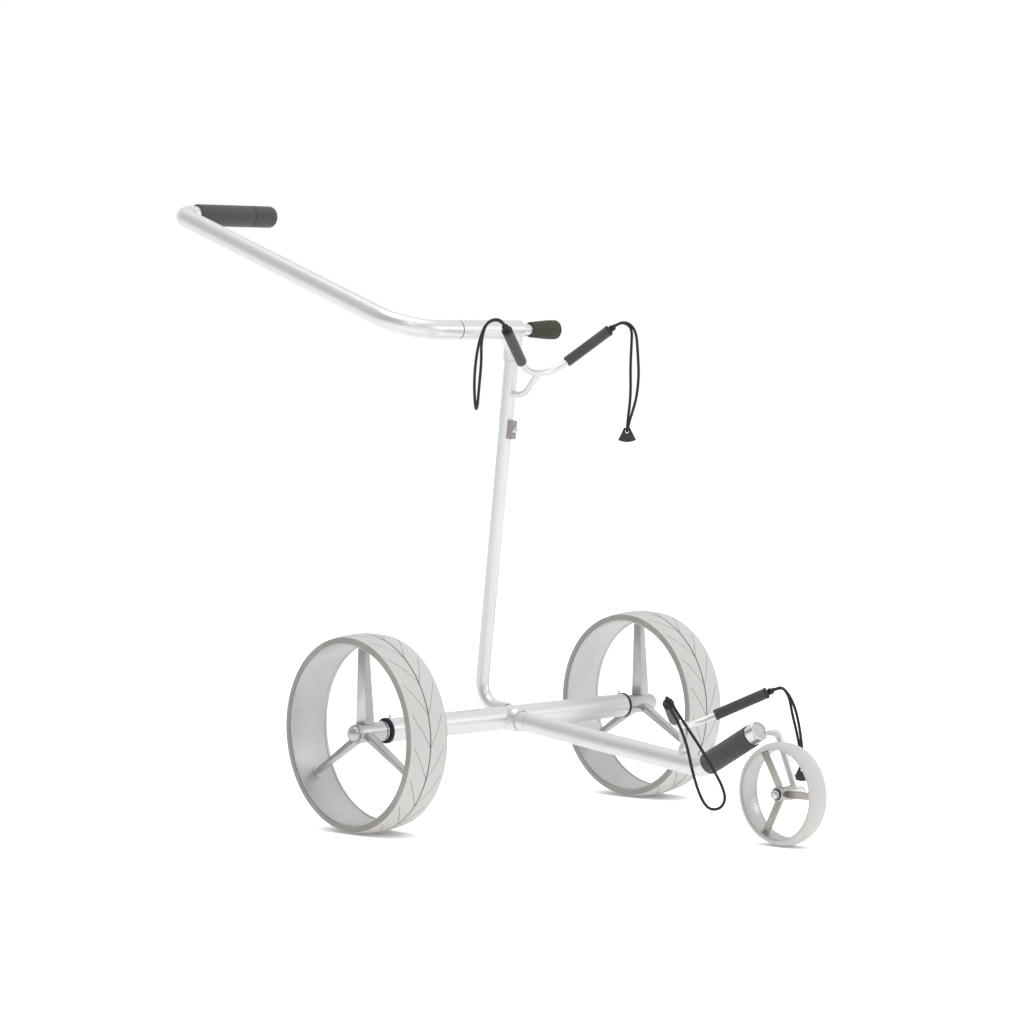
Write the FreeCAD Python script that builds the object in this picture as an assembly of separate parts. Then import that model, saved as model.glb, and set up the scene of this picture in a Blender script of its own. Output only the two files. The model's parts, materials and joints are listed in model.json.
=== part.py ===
# Three-wheel push trolley for a golf bag, in millimetres, +Z up.
# +X points forward to the front wheel and +Y to the cart's left. The origin is on the floor,
# under the middle of the cart's length. Each function below makes one sub-part.
import FreeCAD, Part
import math
import os
from FreeCAD import Vector

SIDES = {"right": -1, "left": 1}
X = Vector(1, 0, 0)
Y = Vector(0, 1, 0)
Z = Vector(0, 0, 1)
# Gaps between fits, the share of a run that an arc takes, the springs, and a cutter's reach
RUNNING_GAP = 0.05
FACE_GAP = 0.4
ARC_SHARE = 0.45
SPRING_TURNS = 3
SPRING_CORNERS = 8
SPRING_SEAT_GAP = 0.05
CUT = 30.0

# Axle tube
AXLE_X = -50.0
AXLE_R = 17.25
AXLE_BORE = 14.75
AXLE_HALF = 232.5

# Rear wheels, each about an axis at the axle's height
REAR_Y = 271.3
REAR_R = 140.0
REAR_SHOULDER_R = 136.0
REAR_WIDTH = 69.3
RIM_OUTER_R = 130.0
RIM_INNER_R = 127.2
RIM_WIDTH = 66.0
TYRE_LIP_R = 128.4
HUB_R = 14.0
HUB_NOSE_R = 13.2
HUB_INBOARD = 29.5
HUB_NOSE = 29.0
HUB_FLOOR = 11.0
HUB_BARREL = 14.5
HUB_DOME = 17.0
HUB_DOME_STEP = 11.25
BLADE_EDGE = 0.25
# A blade's section at its root and its tip: its half-length and its half-thickness, each as
# (forwards, to the left), as on the upper blade. The two wheels are alike, not mirrored.
SPOKE_ROOT = ((7.2, 11.0), (6.6, -4.2))
SPOKE_TIP = ((3.4, 6.4), (4.2, -2.2))
SPOKE_RUN = 5.0
REAR_SPOKES = (0.0, 120.0, 240.0)

# Spindle on which each rear wheel turns, and which plugs into a bush in the axle
SPINDLE_R = 6.0
SPINDLE_TAIL = 96.0
BEARING_R = 10.5
BEARING_WIDTH = 5.0
BEARING_STATIONS = (-29.2, 1.8)
SPINDLE_NOSE = 9.6
CLIP_R = 8.0
CLIP = (7.3, 8.5)
COLLAR_R = 14.5
COLLAR_WIDTH = 5.6
FLANGE_R = 18.3
FLANGE_WIDTH = 3.0
BUSH_LENGTH = 75.0
STOP_SCREW_Y = 174.0
STOP_SCREW_R = 2.5
STOP_SCREW_TIP = 9.2
SCREW_TIP_GAP = 0.2
STOP_SCREW_HEAD = 2.6

# Wheel release button: heights are measured from the axle's centre line
RELEASE_Y = 226.0
RELEASE_R = 2.25
RELEASE_TIP = 7.0
RELEASE_TOP = 22.6
RELEASE_POCKET_R = 4.1
RELEASE_POCKET_FLOOR = 9.5
RELEASE_FLANGE = (12.9, 13.9)
RELEASE_FLANGE_R = 3.8
SPINDLE_SLOT_WIDTH = 5.4
SPINDLE_SLOT_FLOOR = 2.5
SPINDLE_SLOT_END = 4.5
BUTTON_SPRING_WIRE_R = 0.25
BUTTON_SPRING_R = 3.1

# Mast, and the head on top of it, whose tube lies across the cart
MAST_R = 10.0
MAST_WALL = 2.0
MAST_LEAN = 0.163
MAST_FOOT_Z = 152.0
MAST_FOOT_RUN = 4.0
SADDLE_HALF = 40.0
MAST_BEND = 34.0
HEAD_AHEAD_OF_AXLE = 29.0
HEAD_Z = 705.0
HEAD_R = 13.75
HEAD_BORE = 11.5
HEAD_RIGHT_Y = -108.0
HEAD_LEFT_Y = 10.0
NECK_Z = 662.0
NECK_TOP_R = 13.2
NECK_FOOT_R = 12.2
NECK_SOCKET_Z = 684.0
NECK_SWEEP = 34.0
NECK_RUN = 2.0
NECK_SWEEP_TAIL = 15.0
HEAD_RING_WIDTH = 1.2
HEAD_RING_INSET = 0.3
HEAD_RING_PLAY = 0.4
HANDLE_SEAM = 0.3
HEAD_PLUG_WIDTH = 6.0

# Buffer block on the front of the mast, and its dome-headed screw
BLOCK_Z = 562.5
BLOCK_SIZE = (10.5, 10.0, 27.0)
BLOCK_ROOT = 8.0
BLOCK_CHAMFER = 1.8
BLOCK_SCREW_R = 2.5
BLOCK_SCREW_TAIL = 6.0
BLOCK_SCREW_DOME = ((4.6, 0), (4.4, 1.4), (3.7, 2.8), (2.3, 3.9), (0, 4.4))

# Screw clamp between head and handle
CLAMP_TUBE_R = 8.0
CLAMP_TUBE_BORE = 4.6
CLAMP_TUBE_END_Y = 32.0
GRUB_Y = 21.0
GRUB_R = 2.0
GRUB_TIP_GAP = 0.3
GRUB_HEAD = 1.6
ROD_R = 4.0
ROD_END_Y = 66.0
WASHER_R = 8.3
WASHER_WIDTH = 1.6
WASHER_PLAY = 0.1
KNOB_START_Y = 30.0
KNOB_END_Y = 84.0
KNOB_RECESS = 4.6
KNOB_RECESS_R = 9.0
KNOB_REAR_R = 10.7
KNOB_FRONT_R = 14.0
KNOB_REAR_LIP = (0.6, 1.5)
KNOB_NOSE = ((0, 18), (0, 6), (1.8, 2), (5, 0))
KNOB_BORE_GAP = 0.6
KNOB_BORE_END = 4.0
KNOB_FLUTES = 12
KNOB_FLUTE_R = 2.4
KNOB_FLUTE_Y = (29.0, 81.0)
KNOB_FLUTE_OUT = (1.8, 2.9)
INSERT_R = 6.0
INSERT_LENGTH = 24.0

# Handle
TUBE_R = 13.75
TUBE_BORE = 11.5
HANDLE_Y = -205.0
HANDLE_FIRST_BEND = 60.0
HANDLE_SECOND_BEND = 24.0
HANDLE_TUBE_END_Y = -52.0
PLUG_TAIL_Y = -140.0
PLUG_NOSE_Y = -68.0
GRIP_R = 16.7
GRIP_Z = 895.0
GRIP_START_Y = -173.0
GRIP_SPLIT_Y = -70.0
GRIP_END_Y = -24.0
GRIP_ROUND = 9.0
GRIP_ROUND_STEP = 15
GRIP_EDGE = 1.2
GRIP_SEAM = 0.3
GRIP_SEAM_DROP = 1.0

# Lower frame: stations run forward from the axle's centre line along the lower tube
LOWER_DROP = math.radians(6.53)
FOOT_RISE = math.radians(28.0)
LOWER_R = 14.2
LOWER_BORE = 11.5
STUB_END = 46.8
STUB_FLARE = ((5, 0), (3.6, 19.25), (1.2, 23.25), (0, 28.25))
SEAM_GAP = 0.5
SPIGOT_START = -8.0
SPIGOT_IN_TUBE = 40.0
SPIGOT_WINDOW_GAP = 0.3
KEYWAY_WIDTH = 7.0
KEYWAY_FLOOR = 5.4
LOWER_CORNER = 398.0
LOWER_BEND = 36.0
FOOT_SLEEVE = (12.2, 107.5)
FOOT_SLEEVE_R = 15.6
FOOT_END = 122.8
FOOT_FACE_R = 11.7
FOOT_FACE_DEPTH = 1.2
FOOT_SLEEVE_GAP = 0.5
CAP_PLUG = 14.0
CAP_DISC_WIDTH = 1.5
CAP_SEAM_EDGE = 0.6
CAP_FACE_EDGE = 1.0

# Latch button of the lower frame: heights are measured from the lower tube's centre line
LATCH_STATION = 32.6
LATCH_R = 2.4
LATCH_TOP = 13.6
LATCH_FLANGE = (10.0, 10.8)
LATCH_FLANGE_R = 3.0
LATCH_CARRIER = (6.0, 7.5)
LATCH_CARRIER_WIDTH = 5.0
LATCH_POST_STATION = 24.5
LATCH_POST_R = 1.8
LATCH_POST_RISE = 1.0
LATCH_MARGINS = (3.0, 4.0)
LATCH_CROWN = (0.8, 0.6)
LATCH_SPRING_WIRE_R = 0.2
LATCH_SPRING_R = 1.9

# Front wheel and its arm
FRONT_X = 494.0
FRONT_R = 70.0
FRONT_SHOULDER_R = 66.5
FRONT_WIDTH = 32.0
FRONT_RIM_OUTER_R = 63.5
FRONT_RIM_INNER_R = 61.0
FRONT_RIM_WIDTH = 29.0
FRONT_LIP_R = 62.0
FRONT_HUB_R = 10.0
FRONT_HUB = (-11.5, 20.0)
FRONT_BEARING_R = 8.0
FRONT_SPOKE = (10.5, 9.5, 4.0)
FRONT_SPOKES = (-30.0, 90.0, 210.0)
BOLT_R = 4.0
BOLT_HEAD_R = 6.5
BOLT_DOME = ((2.5, 7), (0.7, 5.6), (0, 3.6))
BOLT_TAIL = 8.0
NUT_R = 7.5
NUT_WIDTH = 6.5
FRONT_BEARING_INSET = 0.2
ARM_R = 5.2
ARM_Y = 26.0
ARM_BEND = 13.0
ARM_STATION = 115.0
ARM_ROOT_Y = 8.0
ARM_CORNER_BACK = 31.0
ARM_CORNER_RISE = 79.5
EYE_R = 8.0
EYE_HALF = 5.4

# Bag cradles: each is a V-shaped rod, with a foam sleeve on each arm
CRADLE_R = 4.5
SLEEVE_R = 7.6
SLEEVE_LENGTH = 76.0
CAP_R = 7.9
CAP_WIDTH = 4.0
KNOT_R = 5.2
KNOT_WIDTH = 8.0
CAP_CHAMFER = 1.2
KNOT_ROOT = (1.2, 2.0)
KNOT_TOP = (0.6, 1.6)
UPPER_V_BEND = 60.0
LOWER_V_BEND = 45.0
UPPER_STEM = ((-6, 606), (30.6, 643))
UPPER_STEM_ROOT_Z = 617
UPPER_STEM_BEND = 30.0
LOWER_STEM_FOOT = (311, 104)
LOWER_STEM_REACH = 6.0
LOWER_STEM_FLARE = ((0, 0), (9, 0), (8.2, 11), (5.6, 15), (CRADLE_R, 20))

# Elastic cords: both runs of a loop leave its knot along the arm, side by side
CORD_R = 2.0
CORD_LEAD = 10.0
CORD_SPREAD = 2.4
CORD_SIDE = Vector(0.739, -0.674, 0)
UPPER_RIGHT_ROUTE = [(82, -128, 717), (74, -140, 711.5), (69, -147.5, 691), (66.5, -153.5, 663),
                     (68, -159.5, 627.5), (63, -153.5, 592.5), (48, -136.5, 592), (44.5, -129, 623),
                     (54.5, -132.5, 659), (58.5, -136, 687.5), (69, -136, 711.5), (77, -125.5, 718)]
UPPER_LEFT_ROUTE = [(91, 122.5, 712), (100, 128.5, 699), (103, 128, 669.5), (103, 129.5, 634.5),
                    (98, 128.5, 601.5), (90.5, 122.5, 573), (87, 119.4, 554.6), (79.5, 126, 554.6),
                    (80.5, 127, 571), (81.5, 130, 587.5), (83.5, 131.5, 613), (82.5, 132.5, 646.5),
                    (84, 134, 678.5), (86, 134, 703), (83, 125, 711.5)]
LOWER_RIGHT_ROUTE = [(395, -115, 196), (405, -119, 186), (414, -113.5, 168), (420.5, -106, 140),
                     (424, -101, 107.5), (427.5, -94, 79), (431.5, -85.5, 58.5), (436, -76.5, 51),
                     (442.5, -65.5, 53), (445.5, -59.5, 64.5), (442.5, -61.5, 80.5), (436.5, -67.5, 98),
                     (428.5, -79, 123.5), (418, -91, 149.5), (409, -104.5, 174.5), (402.5, -117, 197),
                     (392, -113, 202.5)]
LOWER_LEFT_ROUTE = [(390.5, 120, 195.5), (394, 132, 177), (398.5, 136.5, 152.5), (400, 140.5, 124),
                    (401, 142, 100), (400.6, 142, 82), (394, 148.8, 82), (392, 148.5, 98.5),
                    (390.5, 146.5, 116), (388, 143, 138.5), (385.5, 138, 161.5), (385, 134, 183.5),
                    (385, 122, 197)]

# Moulded hook in the loop of each left cord: heights are measured from its eye
HOOK_TOP = 5.4
HOOK_FOOT = -15.6
HOOK_TOP_HALF = 4.5
HOOK_HALF = 13.0
HOOK_THICKNESS = 3.2
HOOK_DEPTH = 9.0
HOOK_LIP_TOP = -7.0
HOOK_EYE_R = 2.7
HOOK_FOOT_RISE = 3.0

# The grip's rear edge and the front tyre's front edge are equally far from the origin.
GRIP_X = GRIP_R - (FRONT_X + FRONT_R)
HEAD_X = AXLE_X + HEAD_AHEAD_OF_AXLE
HANDLE_MOUTH_Y = HEAD_RIGHT_Y - HEAD_RING_WIDTH - HANDLE_SEAM
AXLE_CENTRE = Vector(AXLE_X, 0, REAR_R)
FRONT_CENTRE = Vector(FRONT_X, 0, FRONT_R)
LOWER_DIR = Vector(math.cos(LOWER_DROP), 0, -math.sin(LOWER_DROP))
LOWER_UP = Vector(math.sin(LOWER_DROP), 0, math.cos(LOWER_DROP))
FOOT_DIR = Vector(math.cos(FOOT_RISE), 0, math.sin(FOOT_RISE))
FOOT_CORNER = AXLE_CENTRE + LOWER_DIR * LOWER_CORNER
BLOCK_DIR = Vector(1, 0, -MAST_LEAN).normalize()
BLOCK_CENTRE = Vector(HEAD_X - (HEAD_Z - BLOCK_Z) * MAST_LEAN, 0, BLOCK_Z) + BLOCK_DIR * MAST_R


# ---- Building blocks ----

def bar(start, end, radius):
    """A round bar from start to end."""
    return Part.makeCylinder(radius, (end - start).Length, start, end - start)


def placed(shape, base, direction):
    """The shape with its own +Z turned to direction, standing on base."""
    shape.Placement = FreeCAD.Placement(base, FreeCAD.Rotation(Z, direction))
    return shape


def turned(outline, base, direction):
    """A solid of revolution: outline is (radius, station) points about the axis from base."""
    points = [Vector(radius, 0, station) for radius, station in outline]
    face = Part.Face(Part.makePolygon(points + points[:1]))
    return placed(face.revolve(Vector(), Z, 360), base, direction)


def ring(base, direction, low, high, outer, inner):
    """A plain ring between two stations along an axis."""
    return turned([(inner, low), (outer, low), (outer, high), (inner, high)], base, direction)


def crowned_ring(base, direction, half_width, crown, shoulder, outline):
    """A tyre: its tread is an arc from shoulder to shoulder, and outline is the inside."""
    tread = Part.Arc(Vector(shoulder, 0, -half_width), Vector(crown, 0, 0), Vector(shoulder, 0, half_width))
    inside = [Vector(radius, 0, station) for radius, station in outline]
    wall = Part.makePolygon([Vector(shoulder, 0, half_width)] + inside + [Vector(shoulder, 0, -half_width)])
    face = Part.Face(Part.Wire([tread.toShape()] + wall.Edges))
    return placed(face.revolve(Vector(), Z, 360), base, direction)


def bent_path(points, radii):
    """Straight runs through the points, joined by tangent arcs of the given radii."""
    edges = []
    start = points[0]
    for before, corner, after, radius in zip(points, points[1:], points[2:], radii):
        along = (corner - before).normalize()
        onward = (after - corner).normalize()
        half_turn = along.getAngle(onward) / 2
        reach = radius * math.tan(half_turn)
        first = corner - along * reach
        last = corner + onward * reach
        inward = (onward - along).normalize()
        middle = corner + inward * (radius / math.cos(half_turn) - radius)
        edges.append(Part.LineSegment(start, first).toShape())
        edges.append(Part.Arc(first, middle, last).toShape())
        start = last
    edges.append(Part.LineSegment(start, points[-1]).toShape())
    return Part.Wire(edges)


def swept(path, radius):
    """A round solid along a path."""
    first = path.Edges[0]
    circle = Part.makeCircle(radius, first.valueAt(first.FirstParameter), first.tangentAt(first.FirstParameter))
    return path.makePipeShell([Part.Wire(circle)], True, False)


def bent_tube(points, radii, outer, inner):
    """A hollow tube along a bent path."""
    path = bent_path(points, radii)
    return swept(path, outer).cut(swept(path, inner))


def widest_arcs(points):
    """The radius of the largest arc at each corner of a route that its two runs leave room for."""
    runs = [(after - before).Length for before, after in zip(points, points[1:])]
    radii = []
    for index, (before, after) in enumerate(zip(runs, runs[1:])):
        turn = (points[index + 1] - points[index]).getAngle(points[index + 2] - points[index + 1])
        radii.append(ARC_SHARE * min(before, after) / math.tan(turn / 2))
    return radii


def coil(base, direction, wire_r, coil_r, height):
    """A compression spring standing on base."""
    count = SPRING_TURNS * SPRING_CORNERS
    rise = (height - 2 * wire_r) / count
    points = []
    for step in range(count + 1):
        angle = 2 * math.pi * step / SPRING_CORNERS
        points.append(Vector(coil_r * math.cos(angle), coil_r * math.sin(angle), step * rise))
    spring = swept(bent_path(points, widest_arcs(points)), wire_r)
    return placed(spring, base + direction * wire_r, direction)


def axial(side, station):
    """The point on the axle's centre line that lies station from the cart's middle."""
    return AXLE_CENTRE + Y * (side * station)


# ---- Chassis ----

def stub_axis_bar(low, high, radius):
    """A bar on the lower tube's centre line between two stations."""
    return bar(AXLE_CENTRE + LOWER_DIR * low, AXLE_CENTRE + LOWER_DIR * high, radius)


def axle_tube():
    """The cross tube, open in front where the lower frame's spigot goes in."""
    tube = ring(AXLE_CENTRE, Y, -AXLE_HALF, AXLE_HALF, AXLE_R, AXLE_BORE)
    tube = tube.cut(stub_axis_bar(0, CUT, LOWER_BORE + SPIGOT_WINDOW_GAP))
    for side in SIDES.values():
        top = axial(side, RELEASE_Y)
        tube = tube.cut(bar(top, top + Z * CUT, RELEASE_R + RUNNING_GAP))
        tube = tube.cut(bar(axial(side, STOP_SCREW_Y), axial(side, STOP_SCREW_Y) - Z * CUT, STOP_SCREW_R))
    return tube


def axle_bushes():
    """A flanged bush pressed into each end of the axle, bored for a spindle."""
    inner = AXLE_HALF - BUSH_LENGTH
    bushes = []
    for side in SIDES.values():
        bore = SPINDLE_R + RUNNING_GAP
        outline = [(bore, inner), (AXLE_BORE, inner), (AXLE_BORE, AXLE_HALF), (FLANGE_R, AXLE_HALF),
                   (FLANGE_R, AXLE_HALF + FLANGE_WIDTH), (bore, AXLE_HALF + FLANGE_WIDTH)]
        bush = turned(outline, AXLE_CENTRE, Y * side)
        seat = axial(side, RELEASE_Y)
        bush = bush.cut(bar(seat, seat + Z * CUT, RELEASE_R + RUNNING_GAP))
        bush = bush.cut(bar(seat + Z * RELEASE_POCKET_FLOOR, seat + Z * CUT, RELEASE_POCKET_R))
        hole = axial(side, STOP_SCREW_Y)
        bush = bush.cut(bar(hole - Z * (STOP_SCREW_TIP - SCREW_TIP_GAP), hole - Z * CUT, STOP_SCREW_R))
        bushes.append(bush)
    return Part.makeCompound(bushes)


def mast_axis(z):
    """The point on the mast's centre line at a height."""
    return Vector(HEAD_X - (HEAD_Z - z) * MAST_LEAN, 0, z)


def head_axis(y):
    """The point on the head's centre line at a sideways place."""
    return Vector(HEAD_X, y, HEAD_Z)


def mast_tube():
    """The upright tube. Its foot bends forward into the back of the axle."""
    foot = Vector(AXLE_X, 0, MAST_FOOT_Z)
    path = [foot, mast_axis(MAST_FOOT_Z + MAST_FOOT_RUN), mast_axis(NECK_SOCKET_Z)]
    tube = bent_tube(path, [MAST_BEND], MAST_R, MAST_R - MAST_WALL)
    return tube.cut(ring(AXLE_CENTRE, Y, -SADDLE_HALF, SADDLE_HALF, AXLE_R, 0)).cut(block_screw_hole())


def head_elbow():
    """The head: a cross tube on a neck that sweeps round into it and that the mast is set into."""
    head = ring(head_axis(0), Y, HEAD_RIGHT_Y, HEAD_LEFT_Y, HEAD_R, 0)
    along = (mast_axis(HEAD_Z) - mast_axis(NECK_Z)).normalize()
    height = (mast_axis(HEAD_Z) - mast_axis(NECK_Z)).Length
    neck = Part.makeCone(NECK_FOOT_R, NECK_TOP_R, height, mast_axis(NECK_Z), along)
    path = [mast_axis(NECK_Z + NECK_RUN), head_axis(0), head_axis(-NECK_SWEEP - NECK_SWEEP_TAIL)]
    body = head.fuse(neck).fuse(swept(bent_path(path, [NECK_SWEEP]), NECK_FOOT_R))
    body = body.cut(bar(mast_axis(NECK_Z - CUT), mast_axis(NECK_SOCKET_Z), MAST_R))
    body = body.cut(ring(head_axis(0), Y, HEAD_LEFT_Y, HEAD_LEFT_Y + HEAD_R, 3 * HEAD_R, 0))
    return body.cut(ring(head_axis(0), Y, HEAD_RIGHT_Y - 1, HEAD_LEFT_Y + 1, HEAD_BORE, 0))


def head_ring():
    """The friction ring between the head and the handle."""
    return ring(Vector(HEAD_X, 0, HEAD_Z), Y, HEAD_RIGHT_Y - HEAD_RING_WIDTH, HEAD_RIGHT_Y, HEAD_R - HEAD_RING_INSET,
                HEAD_BORE + HEAD_RING_PLAY)


def clamp_tube():
    """The spacer tube between the head and the knob, with a shoulder that plugs the head."""
    outline = [(CLAMP_TUBE_BORE, HEAD_LEFT_Y - HEAD_PLUG_WIDTH), (HEAD_BORE, HEAD_LEFT_Y - HEAD_PLUG_WIDTH),
               (HEAD_BORE, HEAD_LEFT_Y), (CLAMP_TUBE_R, HEAD_LEFT_Y), (CLAMP_TUBE_R, CLAMP_TUBE_END_Y),
               (CLAMP_TUBE_BORE, CLAMP_TUBE_END_Y)]
    return turned(outline, head_axis(0), Y).cut(bar(head_axis(GRUB_Y), head_axis(GRUB_Y) - Z * CUT, GRUB_R))


def lower_stub():
    """The socket in front of the axle that the lower frame plugs into."""
    flare = [(LOWER_R + out, station) for out, station in STUB_FLARE]
    outline = [(LOWER_BORE, 0)] + flare + [(LOWER_R, STUB_END), (LOWER_BORE, STUB_END)]
    stub = turned(outline, AXLE_CENTRE, LOWER_DIR)
    stub = stub.cut(ring(AXLE_CENTRE, Y, -SADDLE_HALF, SADDLE_HALF, AXLE_R, 0))
    seat = AXLE_CENTRE + LOWER_DIR * LATCH_STATION
    return stub.cut(bar(seat, seat + LOWER_UP * CUT, LATCH_R + RUNNING_GAP))


def latch_carrier():
    """The strip in the keyway that the latch button's spring stands on."""
    low, high = LATCH_CARRIER
    start = LATCH_POST_STATION - LATCH_MARGINS[0]
    length = LATCH_STATION + LATCH_MARGINS[1] - start
    strip = Part.makeBox(length, LATCH_CARRIER_WIDTH, high - low, Vector(start, -LATCH_CARRIER_WIDTH / 2, low))
    strip = in_lower_axes(strip)
    post = AXLE_CENTRE + LOWER_DIR * LATCH_POST_STATION
    post = bar(post + LOWER_UP * low, post + LOWER_UP * (LOWER_BORE + LATCH_POST_RISE), LATCH_POST_R)
    return strip.fuse(post).common(stub_axis_bar(0, STUB_END, LOWER_BORE)).removeSplitter()


def in_lower_axes(shape):
    """The shape with its own X along the lower tube, from the axle's centre line."""
    shape.Placement = FreeCAD.Placement(AXLE_CENTRE, FreeCAD.Rotation(Y, math.degrees(LOWER_DROP)))
    return shape


def latch_button():
    """The sprung button in the stub."""
    low, high = LATCH_FLANGE
    outline = [(0, low), (LATCH_FLANGE_R, low), (LATCH_FLANGE_R, high), (LATCH_R, high),
               (LATCH_R, LATCH_TOP - LATCH_CROWN[1]), (LATCH_R - LATCH_CROWN[0], LATCH_TOP), (0, LATCH_TOP)]
    return turned(outline, AXLE_CENTRE + LOWER_DIR * LATCH_STATION, LOWER_UP)


def latch_spring():
    """The spring under the latch button."""
    foot = AXLE_CENTRE + LOWER_DIR * LATCH_STATION + LOWER_UP * (LATCH_CARRIER[1] + SPRING_SEAT_GAP)
    room = LATCH_FLANGE[0] - LATCH_CARRIER[1] - 2 * SPRING_SEAT_GAP
    return coil(foot, LOWER_UP, LATCH_SPRING_WIRE_R, LATCH_SPRING_R, room)


def block_screw_hole():
    """The screw's hole through the buffer block and the mast's front wall."""
    return bar(BLOCK_CENTRE - BLOCK_DIR * BLOCK_SCREW_TAIL, BLOCK_CENTRE + BLOCK_DIR * CUT, BLOCK_SCREW_R)


def buffer_block():
    """The block on the front of the mast that the bag leans on."""
    depth, width, height = BLOCK_SIZE
    block = Part.makeBox(depth + BLOCK_ROOT, width, height, Vector(-BLOCK_ROOT, -width / 2, -height / 2))
    block = block.makeChamfer(BLOCK_CHAMFER, [edge for edge in block.Edges if edge.BoundBox.XMin > depth - 1])
    block.Placement = FreeCAD.Placement(BLOCK_CENTRE, FreeCAD.Rotation(X, BLOCK_DIR))
    return block.cut(bar(mast_axis(BLOCK_Z - height), mast_axis(BLOCK_Z + height), MAST_R)).cut(block_screw_hole())


def chassis_screws():
    """The block's dome-headed screw, the clamp tube's grub screw and the bushes' two stop screws."""
    seat = BLOCK_SIZE[0]
    shank = [(0, -BLOCK_SCREW_TAIL), (BLOCK_SCREW_R, -BLOCK_SCREW_TAIL), (BLOCK_SCREW_R, seat)]
    dome = [(radius, seat + rise) for radius, rise in BLOCK_SCREW_DOME]
    screws = [turned(shank + dome, BLOCK_CENTRE, BLOCK_DIR)]
    grub = head_axis(GRUB_Y)
    screws.append(bar(grub - Z * (CLAMP_TUBE_BORE + GRUB_TIP_GAP), grub - Z * (CLAMP_TUBE_R + GRUB_HEAD), GRUB_R))
    for side in SIDES.values():
        centre = axial(side, STOP_SCREW_Y)
        screws.append(bar(centre - Z * STOP_SCREW_TIP, centre - Z * (AXLE_R + STOP_SCREW_HEAD), STOP_SCREW_R))
    return Part.makeCompound(screws)


def release_button(side):
    """The push pin on the axle that frees a wheel's spindle."""
    low, high = RELEASE_FLANGE
    outline = [(0, RELEASE_TIP), (RELEASE_R, RELEASE_TIP), (RELEASE_R, low), (RELEASE_FLANGE_R, low),
               (RELEASE_FLANGE_R, high), (RELEASE_R, high), (RELEASE_R, RELEASE_TOP - 1),
               (RELEASE_R - 1, RELEASE_TOP), (0, RELEASE_TOP)]
    return turned(outline, axial(side, RELEASE_Y), Z)


def button_spring(side):
    """The spring under a release button's flange."""
    foot = axial(side, RELEASE_Y) + Z * (RELEASE_POCKET_FLOOR + SPRING_SEAT_GAP)
    room = RELEASE_FLANGE[0] - RELEASE_POCKET_FLOOR - 2 * SPRING_SEAT_GAP
    return coil(foot, Z, BUTTON_SPRING_WIRE_R, BUTTON_SPRING_R, room)


# ---- Rear wheels ----

def wheel_frame(side):
    """A rear wheel's centre and its outward axis."""
    return axial(side, REAR_Y), Y * side


def rear_tyre(side):
    """The tyre, whose lips cover the rim's edges."""
    centre, outward = wheel_frame(side)
    half, rim_half = REAR_WIDTH / 2, RIM_WIDTH / 2
    inside = [(TYRE_LIP_R, half), (TYRE_LIP_R, rim_half), (RIM_OUTER_R, rim_half), (RIM_OUTER_R, -rim_half),
              (TYRE_LIP_R, -rim_half), (TYRE_LIP_R, -half)]
    return crowned_ring(centre, outward, half, REAR_R, REAR_SHOULDER_R, inside)


def rear_rim(side):
    """The drum-shaped rim."""
    centre, outward = wheel_frame(side)
    return ring(centre, outward, -RIM_WIDTH / 2, RIM_WIDTH / 2, RIM_OUTER_R, RIM_INNER_R)


def blade(radius, size):
    """A spoke's section at a radius: a pitched, six-sided outline with a ridge on each face."""
    (long_u, long_v), (thick_u, thick_v) = size
    shares = [(1, -BLADE_EDGE), (1, BLADE_EDGE), (0, 1), (-1, BLADE_EDGE), (-1, -BLADE_EDGE), (0, -1)]
    points = [Vector(long * long_u + thick * thick_u, radius, -(long * long_v + thick * thick_v))
              for long, thick in shares]
    return Part.makePolygon(points + points[:1])


def rear_spokes(side):
    """Three tapered, ridged blades from the hub to the rim."""
    centre, _ = wheel_frame(side)
    space = ring(Vector(), Z, -CUT, CUT, RIM_INNER_R, HUB_R)
    spoke = Part.makeLoft([blade(SPOKE_RUN, SPOKE_ROOT), blade(RIM_INNER_R + SPOKE_RUN, SPOKE_TIP)], True, True)
    spoke = spoke.common(space)
    turn_to_wheel = FreeCAD.Rotation(X, 90)
    spokes = []
    for angle in REAR_SPOKES:
        copy = spoke.copy()
        spin = FreeCAD.Rotation(Y, angle)
        copy.Placement = FreeCAD.Placement(centre, spin.multiply(turn_to_wheel))
        spokes.append(copy)
    return Part.makeCompound(spokes)


def rear_hub(side):
    """The hub: a closed barrel with a domed nose, open towards the cart."""
    centre, outward = wheel_frame(side)
    nose = [(HUB_NOSE_R * math.cos(a), HUB_DOME + (HUB_NOSE - HUB_DOME) * math.sin(a))
            for a in [math.radians(step * HUB_DOME_STEP) for step in range(8)]]
    outline = [(BEARING_R, -HUB_INBOARD), (HUB_R, -HUB_INBOARD), (HUB_R, HUB_BARREL)] + nose
    outline += [(0, HUB_NOSE), (0, HUB_FLOOR), (BEARING_R, HUB_FLOOR)]
    return turned(outline, centre, outward)


def rear_bearings(side):
    """A ball bearing in each end of the hub, drawn as a closed ring."""
    centre, outward = wheel_frame(side)
    inner = SPINDLE_R + RUNNING_GAP
    rings = [ring(centre, outward, at, at + BEARING_WIDTH, BEARING_R, inner) for at in BEARING_STATIONS]
    return Part.makeCompound(rings)


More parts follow.
